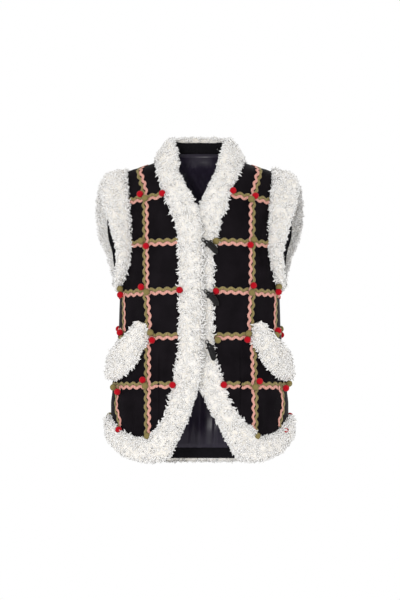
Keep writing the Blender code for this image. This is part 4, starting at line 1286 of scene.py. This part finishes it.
# Horn toggles in their cord loops.
toggle = {"length": 41.0, "radius": 7.2, "bow": 3.2, "rise": 1.5, "flatten": 0.18, "sides": 20, "rings": 28,
          "cord": 1.4, "loopFlat": 0.86, "eyeAlong": 4.8, "eyeAcross": 3.0, "eyeCord": 0.8}
toggleRows = table("x level slope out dip", (24, -161, 44, 15.5, 12), (27, -271, 50, 15.5, 12),
                   (24, -386, 70, 15.5, 12))
hornRows = table("along thick", (0, 0.0), (0.03, 0.42), (0.14, 0.70), (0.38, 0.97), (0.60, 1.0), (0.80, 0.86),
                 (0.93, 0.60), (0.985, 0.30), (1.0, 0.0))


def toggleFrame(row):
    turn = float(turnAtX(row["x"], row["level"]))
    normal = outward(turn, row["level"])
    right = unit(np.cross((0, 0, 1), normal))
    slope, dip = np.radians(row["slope"]), np.radians(row["dip"])
    flat = right * np.cos(slope) - np.cross(normal, right) * np.sin(slope)
    axis = flat * np.cos(dip) - normal * np.sin(dip)
    cross = np.cross(flat, normal)
    return onBody(turn, row["level"], row["out"]), axis, cross, np.cross(cross, axis)


def tube(path, radii, sides, up):
    ahead = unit(np.gradient(path, axis=0))
    one = unit(np.cross(ahead, up))
    two = np.cross(one, ahead)
    angles = np.arange(sides) * 2 * np.pi / sides
    ring = np.cos(angles)[None, :, None] * one[:, None] + np.sin(angles)[None, :, None] * two[:, None]
    points = path[:, None] + ring * np.asarray(radii)[:, None, None]
    rows = len(path)
    faces = gridFaces(rows, sides, closedColumns=True)
    faces += [tuple(range(sides)), tuple((rows - 1) * sides + j for j in range(sides - 1, -1, -1))]
    points = points.reshape(-1, 3)
    return points, turnOut(points, faces)


def makeToggle(number, row):
    middle, axis, cross, normal = toggleFrame(row)
    along = 0.5 - 0.5 * np.cos(np.linspace(0, np.pi, toggle["rings"]))
    bow = toggle["bow"] * (np.sin(np.pi * along) ** 0.9 - 0.5)
    side = cross if cross[2] > 0 else -cross
    path = middle + np.outer((along - 0.5) * toggle["length"], axis) + np.outer(bow, side)
    path += np.outer(toggle["rise"] * (np.sin(np.pi * along) - 0.6), normal)
    radii = np.maximum(toggle["radius"] * curve(hornRows, "thick")(along), 0.12)
    points, faces = tube(path, radii, toggle["sides"], normal)
    flat = np.sum((points - middle) * normal, 1, keepdims=True)
    points = points - normal * flat * toggle["flatten"]
    newPiece(f"hornToggle{number}", points, faces, [hornMaterial], [f"toggle_{number}"])
    place = path[toggle["rings"] // 3]
    angles = np.linspace(0, 2 * np.pi, 41)[:-1]
    around = toggle["radius"] * 0.95 + toggle["cord"]
    ring = (place + np.outer(np.cos(angles) * around, side)
            + np.outer(np.sin(angles) * around * toggle["loopFlat"], normal))
    points, faces = tubeRound(ring, toggle["cord"], 10)
    head = path[0] - axis * 2.0 + normal * 1.5
    eye = (head + np.outer(np.cos(angles) * toggle["eyeAlong"], axis)
           + np.outer(np.sin(angles) * toggle["eyeAcross"], side))
    eyePoints, eyeFaces = tubeRound(eye, toggle["cord"] * toggle["eyeCord"], 8)
    faces = faces + [tuple(v + len(points) for v in face) for face in eyeFaces]
    points = np.concatenate((points, eyePoints))
    newPiece(f"toggleLoop{number}", points, faces, [cordMaterial], [f"toggle_loop_{number}"])


def tubeRound(ring, radius, sides):  # a closed cord through a ring of points
    ahead = unit(np.roll(ring, -1, 0) - np.roll(ring, 1, 0))
    outwards = unit(ring - ring.mean(0))
    other = np.cross(ahead, outwards)
    angles = np.arange(sides) * 2 * np.pi / sides
    across, along = np.cos(angles)[None, :, None], np.sin(angles)[None, :, None]
    section = across * outwards[:, None] + along * other[:, None]
    points = (ring[:, None] + section * radius).reshape(-1, 3)
    return points, turnOut(points, gridFaces(len(ring), sides, closedRows=True, closedColumns=True))


for number, row in enumerate(toggleRows, 1):
    makeToggle(number, row)
print("toggles made")
